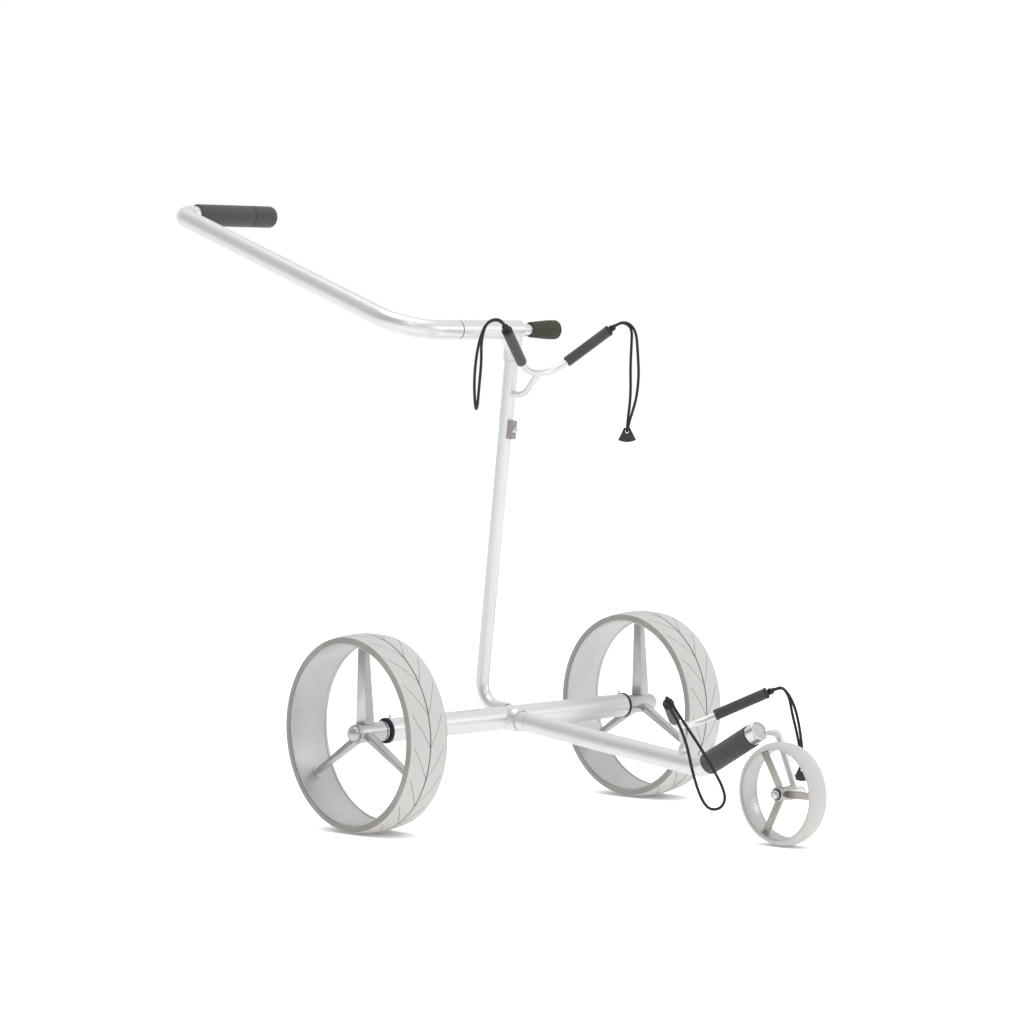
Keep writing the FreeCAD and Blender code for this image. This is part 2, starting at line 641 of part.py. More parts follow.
def spindle(side):
    """The wheel's keyed spindle, with its polished collar and the clip that keeps the wheel on."""
    centre, outward = wheel_frame(side)
    tail = REAR_Y - SPINDLE_TAIL
    shaft = bar(centre - outward * SPINDLE_TAIL, centre + outward * SPINDLE_NOSE, SPINDLE_R)
    near, far = tail - SPINDLE_R, RELEASE_Y + SPINDLE_SLOT_END
    slot = Part.makeBox(SPINDLE_SLOT_WIDTH, far - near, SPINDLE_R)
    slot.translate(Vector(AXLE_X - SPINDLE_SLOT_WIDTH / 2, min(side * near, side * far), REAR_R + SPINDLE_SLOT_FLOOR))
    face = -(REAR_Y - AXLE_HALF - FLANGE_WIDTH) + FACE_GAP
    collar = ring(centre, outward, face, face + COLLAR_WIDTH - FACE_GAP, COLLAR_R, SPINDLE_R)
    clip = ring(centre, outward, CLIP[0], CLIP[1], CLIP_R, SPINDLE_R)
    return Part.makeCompound([shaft.cut(slot), collar, clip])


# ---- Handle and clamp ----

def handle_tube():
    """The handle: across from the head, back and up, then across again under the grip."""
    path = [head_axis(HANDLE_MOUTH_Y), head_axis(HANDLE_Y),
            Vector(GRIP_X, HANDLE_Y, GRIP_Z), Vector(GRIP_X, HANDLE_TUBE_END_Y, GRIP_Z)]
    return bent_tube(path, [HANDLE_FIRST_BEND, HANDLE_SECOND_BEND], TUBE_R, TUBE_BORE)


def handle_plug():
    """The plug in the handle's end that turns in the head and holds the clamp rod."""
    outline = [(ROD_R, PLUG_TAIL_Y), (TUBE_BORE, PLUG_TAIL_Y), (TUBE_BORE, HANDLE_MOUTH_Y),
               (HEAD_BORE - RUNNING_GAP, HANDLE_MOUTH_Y), (HEAD_BORE - RUNNING_GAP, PLUG_NOSE_Y),
               (ROD_R, PLUG_NOSE_Y)]
    return turned(outline, head_axis(0), Y)


def clamp_rod():
    """The threaded rod from the plug to the knob, drawn plain."""
    return bar(head_axis(PLUG_TAIL_Y), head_axis(ROD_END_Y), ROD_R)


def grip():
    """The grip's long sleeve."""
    corner = Vector(GRIP_X, 0, GRIP_Z)
    seam = GRIP_SPLIT_Y - GRIP_SEAM
    outline = [(TUBE_R, GRIP_START_Y), (GRIP_R - GRIP_EDGE, GRIP_START_Y), (GRIP_R, GRIP_START_Y + GRIP_EDGE),
               (GRIP_R, GRIP_SPLIT_Y - GRIP_EDGE), (GRIP_R - GRIP_SEAM_DROP, seam), (TUBE_R, seam)]
    return turned(outline, corner, Y)


def grip_end():
    """The closed, rounded end of the grip."""
    corner = Vector(GRIP_X, 0, GRIP_Z)
    seam = GRIP_SPLIT_Y + GRIP_SEAM
    nose = [(GRIP_R - GRIP_ROUND + GRIP_ROUND * math.cos(a), GRIP_END_Y - GRIP_ROUND + GRIP_ROUND * math.sin(a))
            for a in [math.radians(step * GRIP_ROUND_STEP) for step in range(7)]]
    outline = [(TUBE_R, seam), (GRIP_R - GRIP_SEAM_DROP, seam), (GRIP_R, GRIP_SPLIT_Y + GRIP_EDGE)]
    outline += nose + [(0, GRIP_END_Y), (0, HANDLE_TUBE_END_Y), (TUBE_R, HANDLE_TUBE_END_Y)]
    return turned(outline, corner, Y)


def knob_washer():
    """The thrust washer between the clamp tube and the knob."""
    start = CLAMP_TUBE_END_Y + FACE_GAP
    return ring(head_axis(0), Y, start, start + WASHER_WIDTH, WASHER_R, ROD_R + WASHER_PLAY)


def clamp_knob():
    """The fluted, conical knob."""
    recess = KNOB_START_Y + KNOB_RECESS
    insert_end = recess + INSERT_LENGTH
    bore_r, bore_end = ROD_R + KNOB_BORE_GAP, ROD_END_Y + KNOB_BORE_END
    lip_out, lip_depth = KNOB_REAR_LIP
    outline = [(KNOB_RECESS_R, KNOB_START_Y), (KNOB_REAR_R, KNOB_START_Y),
               (KNOB_REAR_R + lip_out, KNOB_START_Y + lip_depth)]
    outline += [(KNOB_FRONT_R - inset, KNOB_END_Y - back) for inset, back in KNOB_NOSE]
    outline += [(0, KNOB_END_Y), (0, bore_end), (bore_r, bore_end), (bore_r, insert_end), (INSERT_R, insert_end),
                (INSERT_R, recess), (KNOB_RECESS_R, recess)]
    knob = turned(outline, head_axis(0), Y)
    for step in range(KNOB_FLUTES):
        angle = 2 * math.pi * step / KNOB_FLUTES
        spoke = Vector(math.cos(angle), 0, math.sin(angle))
        start = head_axis(KNOB_FLUTE_Y[0]) + spoke * (KNOB_REAR_R + KNOB_FLUTE_OUT[0])
        end = head_axis(KNOB_FLUTE_Y[1]) + spoke * (KNOB_FRONT_R + KNOB_FLUTE_OUT[1])
        knob = knob.cut(bar(start, end, KNOB_FLUTE_R))
    return knob


def knob_insert():
    """The threaded metal insert in the knob, drawn plain."""
    recess = KNOB_START_Y + KNOB_RECESS
    return ring(head_axis(0), Y, recess, recess + INSERT_LENGTH, INSERT_R, ROD_R + RUNNING_GAP)


# ---- Lower frame ----

def lower_spigot():
    """The keyed spigot that slides into the stub."""
    mouth = STUB_END + SEAM_GAP
    outline = [(0, SPIGOT_START), (LOWER_BORE - RUNNING_GAP, SPIGOT_START), (LOWER_BORE - RUNNING_GAP, mouth),
               (LOWER_BORE, mouth), (LOWER_BORE, mouth + SPIGOT_IN_TUBE), (0, mouth + SPIGOT_IN_TUBE)]
    spigot = turned(outline, AXLE_CENTRE, LOWER_DIR)
    slot = Part.makeBox(mouth - SPIGOT_START + CUT, KEYWAY_WIDTH, CUT,
                        Vector(SPIGOT_START - CUT, -KEYWAY_WIDTH / 2, KEYWAY_FLOOR))
    return spigot.cut(in_lower_axes(slot))


def lower_tube():
    """The long tube that drops forward from the axle and bends up into the foot."""
    path = [AXLE_CENTRE + LOWER_DIR * (STUB_END + SEAM_GAP), FOOT_CORNER, FOOT_CORNER + FOOT_DIR * FOOT_SLEEVE[1]]
    return bent_tube(path, [LOWER_BEND], LOWER_R, LOWER_BORE)


def foot_sleeve():
    """The rubber sleeve on the foot, on which the bag stands."""
    low, high = FOOT_SLEEVE
    return ring(FOOT_CORNER, FOOT_DIR, low, high - FOOT_SLEEVE_GAP, FOOT_SLEEVE_R, LOWER_R)


def foot_cap():
    """The bright end piece of the foot, plugged into the tube."""
    low = FOOT_SLEEVE[1]
    floor = FOOT_END - FOOT_FACE_DEPTH - CAP_DISC_WIDTH
    outline = [(0, low - CAP_PLUG), (LOWER_BORE, low - CAP_PLUG), (LOWER_BORE, low), (LOWER_R - CAP_SEAM_EDGE, low),
               (LOWER_R, low + CAP_SEAM_EDGE), (LOWER_R, FOOT_END - CAP_FACE_EDGE),
               (LOWER_R - CAP_FACE_EDGE, FOOT_END), (FOOT_FACE_R, FOOT_END), (FOOT_FACE_R, floor), (0, floor)]
    return turned(outline, FOOT_CORNER, FOOT_DIR)


def foot_cap_disc():
    """The grey disc set into the end piece."""
    high = FOOT_END - FOOT_FACE_DEPTH
    return ring(FOOT_CORNER, FOOT_DIR, high - CAP_DISC_WIDTH, high, FOOT_FACE_R, 0)


def front_arm():
    """The bent rod from the foot's end piece to the front wheel, with its eye."""
    start = FOOT_CORNER + FOOT_DIR * ARM_STATION
    corner = FRONT_CENTRE + Vector(-ARM_CORNER_BACK, ARM_Y, ARM_CORNER_RISE)
    eye = FRONT_CENTRE + Y * ARM_Y
    rod = swept(bent_path([start + Y * ARM_ROOT_Y, corner, eye], [ARM_BEND]), ARM_R)
    rod = rod.cut(ring(FOOT_CORNER, FOOT_DIR, FOOT_SLEEVE[0], FOOT_END, LOWER_R, 0))
    boss = bar(eye - Y * EYE_HALF, eye + Y * EYE_HALF, EYE_R)
    return rod.fuse(boss).cut(bar(eye - Y * EYE_R, eye + Y * EYE_R, BOLT_R))


def front_axle_bolt():
    """The bolt that the front wheel turns on, and its nut outside the arm's eye."""
    head = FRONT_HUB[0] - FACE_GAP
    nut_seat = ARM_Y + EYE_HALF
    dome = [(BOLT_HEAD_R - inset, head - rise) for inset, rise in BOLT_DOME]
    outline = [(0, dome[0][1])] + dome + [(BOLT_HEAD_R, head), (BOLT_R, head), (BOLT_R, nut_seat + BOLT_TAIL),
                                          (0, nut_seat + BOLT_TAIL)]
    bolt = turned(outline, FRONT_CENTRE, Y)
    turns = [math.radians(60 * step) for step in range(7)]
    corners = [Vector(NUT_R * math.cos(turn), NUT_R * math.sin(turn), nut_seat) for turn in turns]
    nut = placed(Part.Face(Part.makePolygon(corners)).extrude(Z * NUT_WIDTH), FRONT_CENTRE, Y)
    return Part.makeCompound([bolt, nut.cut(bar(FRONT_CENTRE, FRONT_CENTRE + Y * (nut_seat + CUT), BOLT_R))])


# ---- Front wheel ----

def front_tyre():
    """The smooth front tyre."""
    half, rim_half = FRONT_WIDTH / 2, FRONT_RIM_WIDTH / 2
    inside = [(FRONT_LIP_R, half), (FRONT_LIP_R, rim_half), (FRONT_RIM_OUTER_R, rim_half),
              (FRONT_RIM_OUTER_R, -rim_half), (FRONT_LIP_R, -rim_half), (FRONT_LIP_R, -half)]
    return crowned_ring(FRONT_CENTRE, Y, half, FRONT_R, FRONT_SHOULDER_R, inside)


def front_rim():
    """The front wheel's rim."""
    return ring(FRONT_CENTRE, Y, -FRONT_RIM_WIDTH / 2, FRONT_RIM_WIDTH / 2, FRONT_RIM_OUTER_R, FRONT_RIM_INNER_R)


def front_spokes():
    """Three flat steel spokes."""
    root, tip, depth = FRONT_SPOKE
    low, high = FRONT_HUB_R / 2, FRONT_RIM_INNER_R + depth
    corners = [Vector(-root / 2, -depth / 2, low), Vector(root / 2, -depth / 2, low),
               Vector(tip / 2, -depth / 2, high), Vector(-tip / 2, -depth / 2, high)]
    plate = Part.Face(Part.makePolygon(corners + corners[:1])).extrude(Y * depth)
    plate = plate.common(ring(Vector(), Y, -depth, depth, FRONT_RIM_INNER_R, FRONT_HUB_R))
    spokes = []
    for angle in FRONT_SPOKES:
        copy = plate.copy()
        copy.Placement = FreeCAD.Placement(FRONT_CENTRE, FreeCAD.Rotation(Y, angle))
        spokes.append(copy)
    return Part.makeCompound(spokes)


def front_hub():
    """The front hub barrel."""
    return ring(FRONT_CENTRE, Y, FRONT_HUB[0], FRONT_HUB[1], FRONT_HUB_R, FRONT_BEARING_R)


def front_bearings():
    """A ball bearing in each end of the front hub, drawn as a closed ring."""
    inner = BOLT_R + RUNNING_GAP
    low, high = FRONT_HUB
    rings = [ring(FRONT_CENTRE, Y, at, at + BEARING_WIDTH, FRONT_BEARING_R, inner)
             for at in (low + FRONT_BEARING_INSET, high - BEARING_WIDTH - FRONT_BEARING_INSET)]
    return Part.makeCompound(rings)


# ---- Bag cradles ----

class Cradle:
    """A V-shaped rod on a stem, its two sleeves, their caps and the cords' knots."""

    def __init__(self, first, last, bend):
        """first and last are the left sleeve's two ends, and bend is the V's radius."""
        self.first = first
        self.along = (last - first).normalize()
        self.bend = bend

    def arm(self, side, station):
        """A point on an arm's centre line, station from the sleeve's lower end."""
        point = self.first + self.along * station
        return Vector(point.x, point.y * side, point.z)

    def direction(self, side):
        """An arm's outward direction."""
        return Vector(self.along.x, self.along.y * side, self.along.z)

    def corner(self):
        """Where the two arms' centre lines meet."""
        return self.first - self.along * (self.first.y / self.along.y)

    def rod(self):
        """The bent rod."""
        path = [self.arm(-1, SLEEVE_LENGTH), self.corner(), self.arm(1, SLEEVE_LENGTH)]
        return swept(bent_path(path, [self.bend]), CRADLE_R)

    def sleeves(self):
        """The foam sleeve on each arm."""
        return Part.makeCompound([ring(self.arm(side, 0), self.direction(side), 0, SLEEVE_LENGTH, SLEEVE_R, CRADLE_R)
                                  for side in SIDES.values()])

    def anchors(self):
        """The cap on each arm's end, and the cord's knot against it."""
        low, high = CAP_WIDTH, CAP_WIDTH + KNOT_WIDTH
        cap = [(0, 0), (CAP_R, 0), (CAP_R, low - CAP_CHAMFER), (CAP_R - CAP_CHAMFER, low), (0, low)]
        knot = [(0, low), (KNOT_R - KNOT_ROOT[0], low), (KNOT_R, low + KNOT_ROOT[1]),
                (KNOT_R, high - KNOT_TOP[1]), (KNOT_R - KNOT_TOP[0], high), (0, high)]
        return Part.makeCompound([turned(outline, self.arm(side, SLEEVE_LENGTH), self.direction(side))
                                  for side in SIDES.values() for outline in (cap, knot)])


UPPER = Cradle(Vector(41.4, 43.6, 656.3), Vector(72.1, 98.3, 700.0), UPPER_V_BEND)
LOWER = Cradle(Vector(331.6, 39.4, 162.4), Vector(375.0, 93.6, 190.4), LOWER_V_BEND)


def upper_cradle():
    """The upper V-shaped rod on its bent stem from the mast."""
    path = [mast_axis(UPPER_STEM_ROOT_Z)] + [Vector(x, 0, z) for x, z in UPPER_STEM]
    stem = swept(bent_path(path, [UPPER_STEM_BEND]), CRADLE_R)
    return UPPER.rod().fuse(stem).cut(bar(mast_axis(BLOCK_Z), mast_axis(NECK_Z), MAST_R))


def lower_cradle():
    """The lower V-shaped rod on its flared stem from the lower tube."""
    top = LOWER.corner() + Vector(LOWER_STEM_REACH, 0, LOWER_STEM_REACH)
    foot = Vector(LOWER_STEM_FOOT[0], 0, LOWER_STEM_FOOT[1])
    height = (top - foot).Length
    outline = list(LOWER_STEM_FLARE) + [(CRADLE_R, height), (0, height)]
    stem = turned(outline, foot, top - foot).cut(stub_axis_bar(STUB_END, LOWER_CORNER, LOWER_R))
    return LOWER.rod().fuse(stem)


# ---- Elastic cords ----

def cord_route(cradle, side, inner_points):
    """A loop's control points, from its knot and back to it."""
    along = cradle.direction(side)
    exit_point = cradle.arm(side, SLEEVE_LENGTH + CAP_WIDTH + KNOT_WIDTH)
    beside = (CORD_SIDE - along * CORD_SIDE.dot(along)).normalize() * CORD_SPREAD
    first = [exit_point + beside, exit_point + beside + along * CORD_LEAD]
    last = [exit_point - beside + along * CORD_LEAD, exit_point - beside]
    return first + [Vector(*point) for point in inner_points] + last


def cord(name, points):
    """The cord's plain tube. Each arc is as large as its two runs allow."""
    radii = widest_arcs(points)
    path = bent_path(points, radii)
    tube = swept(path, CORD_R)
    share = tube.Volume / (math.pi * CORD_R ** 2 * path.Length)
    print(name, "length", round(path.Length, 1), "volume share", round(share, 4),
          "radii", [round(radius, 1) for radius in radii])
    return tube


def cords():
    """The four loops by node name."""
    routes = {"upper_right_cord": cord_route(UPPER, -1, UPPER_RIGHT_ROUTE),
              "upper_left_cord": cord_route(UPPER, 1, UPPER_LEFT_ROUTE),
              "lower_right_cord": cord_route(LOWER, -1, LOWER_RIGHT_ROUTE),
              "lower_left_cord": cord_route(LOWER, 1, LOWER_LEFT_ROUTE)}
    return {name: cord(name, points) for name, points in routes.items()}


def hook(eye_start, eye_end):
    """A fan-shaped plate with an eye that the cord passes through and an upturned lip."""
    half = HOOK_THICKNESS / 2
    corner = HOOK_FOOT + HOOK_FOOT_RISE
    side_view = [(-half, HOOK_FOOT), (HOOK_DEPTH, HOOK_FOOT), (HOOK_DEPTH, HOOK_LIP_TOP),
                 (HOOK_DEPTH - HOOK_THICKNESS, HOOK_LIP_TOP), (HOOK_DEPTH - HOOK_THICKNESS, corner),
                 (half, corner), (half, HOOK_TOP), (-half, HOOK_TOP)]
    points = [Vector(-HOOK_HALF, back, height) for back, height in side_view]
    plate = Part.Face(Part.makePolygon(points + points[:1])).extrude(X * (2 * HOOK_HALF))
    left, right = Vector(-HOOK_HALF, -CUT, corner), Vector(HOOK_HALF, -CUT, corner)
    foot = Part.Arc(left, Vector(0, -CUT, HOOK_FOOT), right).toShape()
    sides = Part.makePolygon([right, Vector(HOOK_TOP_HALF, -CUT, HOOK_TOP), Vector(-HOOK_TOP_HALF, -CUT, HOOK_TOP),
                              left])
    fan = Part.Face(Part.Wire([foot] + sides.Edges)).extrude(Y * (2 * CUT))
    shape = plate.common(fan).cut(bar(Y * -CUT, Y * half, HOOK_EYE_R))
    through = Vector(eye_end.x - eye_start.x, eye_end.y - eye_start.y, 0)
    yaw = math.degrees(math.atan2(through.y, through.x)) - 90
    shape.Placement = FreeCAD.Placement((eye_start + eye_end) / 2, FreeCAD.Rotation(Z, yaw))
    return shape


def hooks():
    """The two hooks, each where its cord doubles back."""
    upper = [Vector(*point) for point in UPPER_LEFT_ROUTE[6:8]]
    lower = [Vector(*point) for point in LOWER_LEFT_ROUTE[5:7]]
    return {"upper_hook": hook(*upper), "lower_hook": hook(*lower)}


# ---- Export ----

def save(name, shape):
    """Write one sub-part, after checking its solids."""
    for solid in shape.Solids:
        if solid.Volume <= 0 or not solid.isValid():
            print("BAD SOLID", name, solid.Volume, solid.isValid())
    shape.exportStep("parts/" + name + ".step")
    print(name, len(shape.Solids), round(shape.Volume / 1000, 2), "cm3")


def whole_cart():
    """Every node's name and shape."""
    singles = [axle_tube, axle_bushes, mast_tube, head_elbow, head_ring, clamp_tube, chassis_screws, buffer_block,
               lower_stub, latch_carrier, latch_button, latch_spring, upper_cradle,
               handle_tube, handle_plug, clamp_rod, grip, grip_end, knob_washer, clamp_knob, knob_insert,
               lower_spigot, lower_tube, foot_sleeve, foot_cap, foot_cap_disc, front_arm, front_axle_bolt,
               lower_cradle, front_tyre, front_rim, front_spokes, front_hub, front_bearings]
    by_side = [rear_tyre, rear_rim, rear_spokes, rear_hub, rear_bearings, spindle, release_button, button_spring]
    nodes = {make.__name__: make() for make in singles}
    for make in by_side:
        for side_name, side in SIDES.items():
            nodes[side_name + "_" + make.__name__] = make(side)
    for level, cradle in (("upper", UPPER), ("lower", LOWER)):
        nodes[level + "_sleeves"] = cradle.sleeves()
        nodes[level + "_cord_anchors"] = cradle.anchors()
    nodes.update(cords())
    nodes.update(hooks())
    return nodes


os.makedirs("parts", exist_ok=True)
for node, shape in whole_cart().items():
    save(node, shape)
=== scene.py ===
"""The looks of a light three-wheeled golf trolley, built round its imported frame.

Lengths are metres in the frame's own axes: +X to the front wheel, +Y to the left, +Z up.
"""
import json
import logging
import math
from contextlib import contextmanager
from dataclasses import dataclass, field
from enum import Enum
from typing import Iterator, Sequence

import bpy
from mathutils import Matrix, Quaternion, Vector

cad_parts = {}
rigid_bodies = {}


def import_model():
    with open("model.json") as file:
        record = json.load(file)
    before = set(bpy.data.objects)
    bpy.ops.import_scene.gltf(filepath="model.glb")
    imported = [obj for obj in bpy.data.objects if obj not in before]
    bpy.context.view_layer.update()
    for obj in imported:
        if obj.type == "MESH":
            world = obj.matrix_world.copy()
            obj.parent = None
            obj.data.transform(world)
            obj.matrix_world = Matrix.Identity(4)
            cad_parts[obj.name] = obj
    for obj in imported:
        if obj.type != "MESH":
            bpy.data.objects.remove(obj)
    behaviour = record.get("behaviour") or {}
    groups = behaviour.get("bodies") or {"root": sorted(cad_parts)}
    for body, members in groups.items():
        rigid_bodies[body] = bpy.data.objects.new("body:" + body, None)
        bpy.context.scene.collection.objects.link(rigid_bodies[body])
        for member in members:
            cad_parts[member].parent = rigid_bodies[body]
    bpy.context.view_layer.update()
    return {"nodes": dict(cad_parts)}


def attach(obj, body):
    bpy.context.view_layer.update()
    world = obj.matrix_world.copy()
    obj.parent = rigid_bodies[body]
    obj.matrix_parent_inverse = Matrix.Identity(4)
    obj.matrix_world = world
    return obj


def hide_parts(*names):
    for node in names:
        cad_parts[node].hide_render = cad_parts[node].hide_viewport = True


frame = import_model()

TAU = 2 * math.pi
MM = 0.001
WELD = 2e-6
SMOOTH_ANGLE = math.radians(32)
FLAT_ANGLE = math.radians(1)
AXIS_HOLE = 0.0002
NOSE_HOLE = 0.0003
CORNER = 0.0003
LOG = logging.getLogger("trolley")

Colour = tuple[float, float, float, float]
Outline = list[tuple[float, float]]
Piece = bpy.types.Object


class Side(Enum):
    """The cart's two sides, with the sign of Y on each."""

    RIGHT = -1
    LEFT = 1

    @property
    def word(self) -> str:
        """The side's name, as node and body names begin."""
        return self.name.lower()


class Level(Enum):
    """The two bag cradles, with the body that each is on."""

    UPPER = "chassis"
    LOWER = "lower_frame"

    @property
    def word(self) -> str:
        """The level's name, as node names begin."""
        return self.name.lower()


# ---- Materials ----

RANGE_SOCKETS = ("From Min", "From Max", "To Min", "To Max")


def shade(level: float, warmth: float = 0.0) -> Colour:
    """A near-grey colour.

    Args:
        level: how light it is, in linear light.
        warmth: how far red rises and blue falls, as a share of the level.

    Returns:
        The colour with full alpha.
    """
    return (level * (1 + warmth), level, level * (1 - warmth), 1.0)


class Bench:
    """One material's node tree, with short calls for what the finishes share."""

    def __init__(self, name: str) -> None:
        """Start a material.

        Args:
            name: the material's name.
        """
        self.material = bpy.data.materials.new(name)
        self.material.use_nodes = True
        self.tree = self.material.node_tree
        self.shader = self.tree.nodes["Principled BSDF"]

    def node(self, kind: str, **settings: object) -> bpy.types.ShaderNode:
        """Add a node.

        Args:
            kind: the node's type.
            settings: its properties by name.

        Returns:
            The new node.
        """
        made = self.tree.nodes.new(kind)
        for key, value in settings.items():
            setattr(made, key, value)
        return made

    def link(self, source: bpy.types.NodeSocket, target: bpy.types.NodeSocket) -> None:
        """Join two sockets."""
        self.tree.links.new(source, target)

    def give(self, **values: object) -> None:
        """Set the shader's own sockets, whose names have spaces where the arguments have underscores."""
        for key, value in values.items():
            self.shader.inputs[key.replace("_", " ")].default_value = value

    def place(self, stretch: Sequence[float] = (1, 1, 1), on_uv: bool = False) -> bpy.types.NodeSocket:
        """Coordinates for a pattern.

        Args:
            stretch: how many pattern units go into one metre, or into the map, along each axis.
            on_uv: follow the piece's own UV map rather than its Object coordinates.

        Returns:
            The vector socket.
        """
        source = self.node("ShaderNodeTexCoord").outputs["UV" if on_uv else "Object"]
        mapping = self.node("ShaderNodeMapping")
        mapping.inputs["Scale"].default_value = stretch
        self.link(source, mapping.inputs["Vector"])
        return mapping.outputs["Vector"]

    def noise(self, vector: bpy.types.NodeSocket, scale: float, detail: float = 2.0) -> bpy.types.NodeSocket:
        """Smooth noise from 0 to 1.

        Args:
            vector: where to read it.
            scale: how many blobs go into one unit.
            detail: how many finer layers it has.

        Returns:
            The value socket.
        """
        made = self.node("ShaderNodeTexNoise")
        made.inputs["Scale"].default_value = scale
        made.inputs["Detail"].default_value = detail
        self.link(vector, made.inputs["Vector"])
        return made.outputs["Fac"]

    def remap(self, value: bpy.types.NodeSocket, old: Sequence[float],
              new: Sequence[float]) -> bpy.types.NodeSocket:
        """Stretch a value from one range to another, and hold it at the ends.

        Args:
            value: the socket to read.
            old: the range it has.
            new: the range it gets.

        Returns:
            The value socket.
        """
        made = self.node("ShaderNodeMapRange")
        for name, number in zip(RANGE_SOCKETS, (*old, *new)):
            made.inputs[name].default_value = number
        self.link(value, made.inputs["Value"])
        return made.outputs["Result"]

    def mix(self, factor: bpy.types.NodeSocket, first: Colour, second: Colour) -> bpy.types.NodeSocket:
        """A colour between two.

        Args:
            factor: 0 for the first, 1 for the second.
            first: a colour.
            second: a colour.

        Returns:
            The colour socket.
        """
        made = self.node("ShaderNodeMix", data_type="RGBA")
        self.link(factor, made.inputs["Factor"])
        made.inputs[6].default_value = first
        made.inputs[7].default_value = second
        return made.outputs[2]

    def math(self, operation: str, first: bpy.types.NodeSocket,
             second: "bpy.types.NodeSocket | float" = 0.5) -> bpy.types.NodeSocket:
        """One sum on sockets.

        Args:
            operation: a Math node's operation.
            first: the first socket.
            second: another socket or a number.

        Returns:
            The value socket.
        """
        made = self.node("ShaderNodeMath", operation=operation)
        self.link(first, made.inputs[0])
        if isinstance(second, (int, float)):
            made.inputs[1].default_value = second
        else:
            self.link(second, made.inputs[1])
        return made.outputs[0]

    def relief(self, height: bpy.types.NodeSocket, depth: float, strength: float = 1.0) -> None:
        """Add a bump on top of any that the shader has.

        Args:
            height: the height socket, from 0 to 1.
            depth: how deep the relief is, in metres.
            strength: how strongly it shows.
        """
        bump = self.node("ShaderNodeBump")
        bump.inputs["Strength"].default_value = strength
        bump.inputs["Distance"].default_value = depth
        self.link(height, bump.inputs["Height"])
        target = self.shader.inputs["Normal"]
        if target.is_linked:
            self.link(target.links[0].from_socket, bump.inputs["Normal"])
        self.link(bump.outputs["Normal"], target)


@dataclass(frozen=True)
class Finish:
    """A surface finish: the record's slot it belongs to and how it is made."""

    name: str
    slot: str
    light: Colour
    dark: Colour
    roughness: tuple[float, float]

    def dress(self, bench: Bench) -> None:
        """Add this finish's own nodes to a started material."""
        raise NotImplementedError

    def material(self) -> bpy.types.Material:
        """The finish's material, which is made once."""
        found = bpy.data.materials.get(self.name)
        if found is None:
            bench = Bench(self.name)
            self.dress(bench)
            found = bench.material
        return found


@dataclass(frozen=True)
class Anodised(Finish):
    """Satin metal with a fine blasted grain and faint handling marks."""

    grain: float = 2600.0
    grain_depth: float = 6e-6

    def dress(self, bench: Bench) -> None:
        """Grain in the relief, and slow drifts of tone and gloss."""
        here = bench.place()
        drift = bench.noise(here, 14.0, 3.0)
        marks = bench.noise(here, 220.0, 4.0)
        fine = bench.noise(here, self.grain, 1.0)
        bench.give(Metallic=1.0)
        tone = bench.mix(bench.remap(drift, (0.3, 0.7), (0.0, 1.0)), self.light, self.dark)
        bench.link(tone, bench.shader.inputs["Base Color"])
        gloss = bench.math("MULTIPLY", bench.math("ADD", drift, marks), 0.5)
        bench.link(bench.remap(gloss, (0.35, 0.65), self.roughness), bench.shader.inputs["Roughness"])
        bench.relief(fine, self.grain_depth)


@dataclass(frozen=True)
class Brushed(Finish):
    """Metal brushed along the piece's own map, whose U runs with the strokes."""

    strokes: tuple[float, float] = (40.0, 2600.0)
    stroke_depth: float = 9e-6

    def dress(self, bench: Bench) -> None:
        """Long thin strokes in tone, gloss and relief."""
        along, across = self.strokes
        strokes = bench.noise(bench.place((along, across, 1.0), on_uv=True), 1.0, 3.0)
        cloud = bench.noise(bench.place(), 30.0, 2.0)
        bench.give(Metallic=1.0, Anisotropic=0.35)
        mixed = bench.math("MULTIPLY", bench.math("ADD", strokes, cloud), 0.5)
        tone = bench.mix(bench.remap(mixed, (0.35, 0.65), (0.0, 1.0)), self.light, self.dark)
        bench.link(tone, bench.shader.inputs["Base Color"])
        bench.link(bench.remap(strokes, (0.3, 0.7), self.roughness), bench.shader.inputs["Roughness"])
        bench.relief(strokes, self.stroke_depth)


@dataclass(frozen=True)
class Turned(Finish):
    """Metal with fine marks round one axis, as from a lathe, read from the cart's own axes."""

    stretch: tuple[float, float, float] = (1.0, 60.0, 1.0)

    def dress(self, bench: Bench) -> None:
        """Rings across the turning axis in tone, gloss and relief."""
        rings = bench.noise(bench.place(self.stretch), 60.0, 2.0)
        fine = bench.noise(bench.place(), 900.0, 2.0)
        bench.give(Metallic=1.0)
        tone = bench.mix(bench.remap(rings, (0.35, 0.65), (0.0, 1.0)), self.light, self.dark)
        bench.link(tone, bench.shader.inputs["Base Color"])
        bench.link(bench.remap(rings, (0.3, 0.7), self.roughness), bench.shader.inputs["Roughness"])
        bench.relief(fine, 4e-6)


@dataclass(frozen=True)
class Rubber(Finish):
    """Moulded tyre rubber: a matt skin, a fine grain and a faint bloom."""

    grain: float = 1500.0
    grain_depth: float = 3e-5

    def dress(self, bench: Bench) -> None:
        """Cloudy bloom, small specks and grain."""
        here = bench.place()
        bloom = bench.noise(here, 22.0, 5.0)
        specks = bench.noise(here, 600.0, 2.0)
        grain = bench.noise(here, self.grain, 2.0)
        mixed = bench.math("ADD", bench.math("MULTIPLY", bloom, 0.75), bench.math("MULTIPLY", specks, 0.25))
        tone = bench.mix(bench.remap(mixed, (0.36, 0.64), (0.0, 1.0)), self.light, self.dark)
        bench.link(tone, bench.shader.inputs["Base Color"])
        bench.link(bench.remap(bloom, (0.3, 0.7), self.roughness), bench.shader.inputs["Roughness"])
        bench.give(Specular_IOR_Level=0.35, Sheen_Weight=0.08, Sheen_Roughness=0.5)
        bench.relief(grain, self.grain_depth)


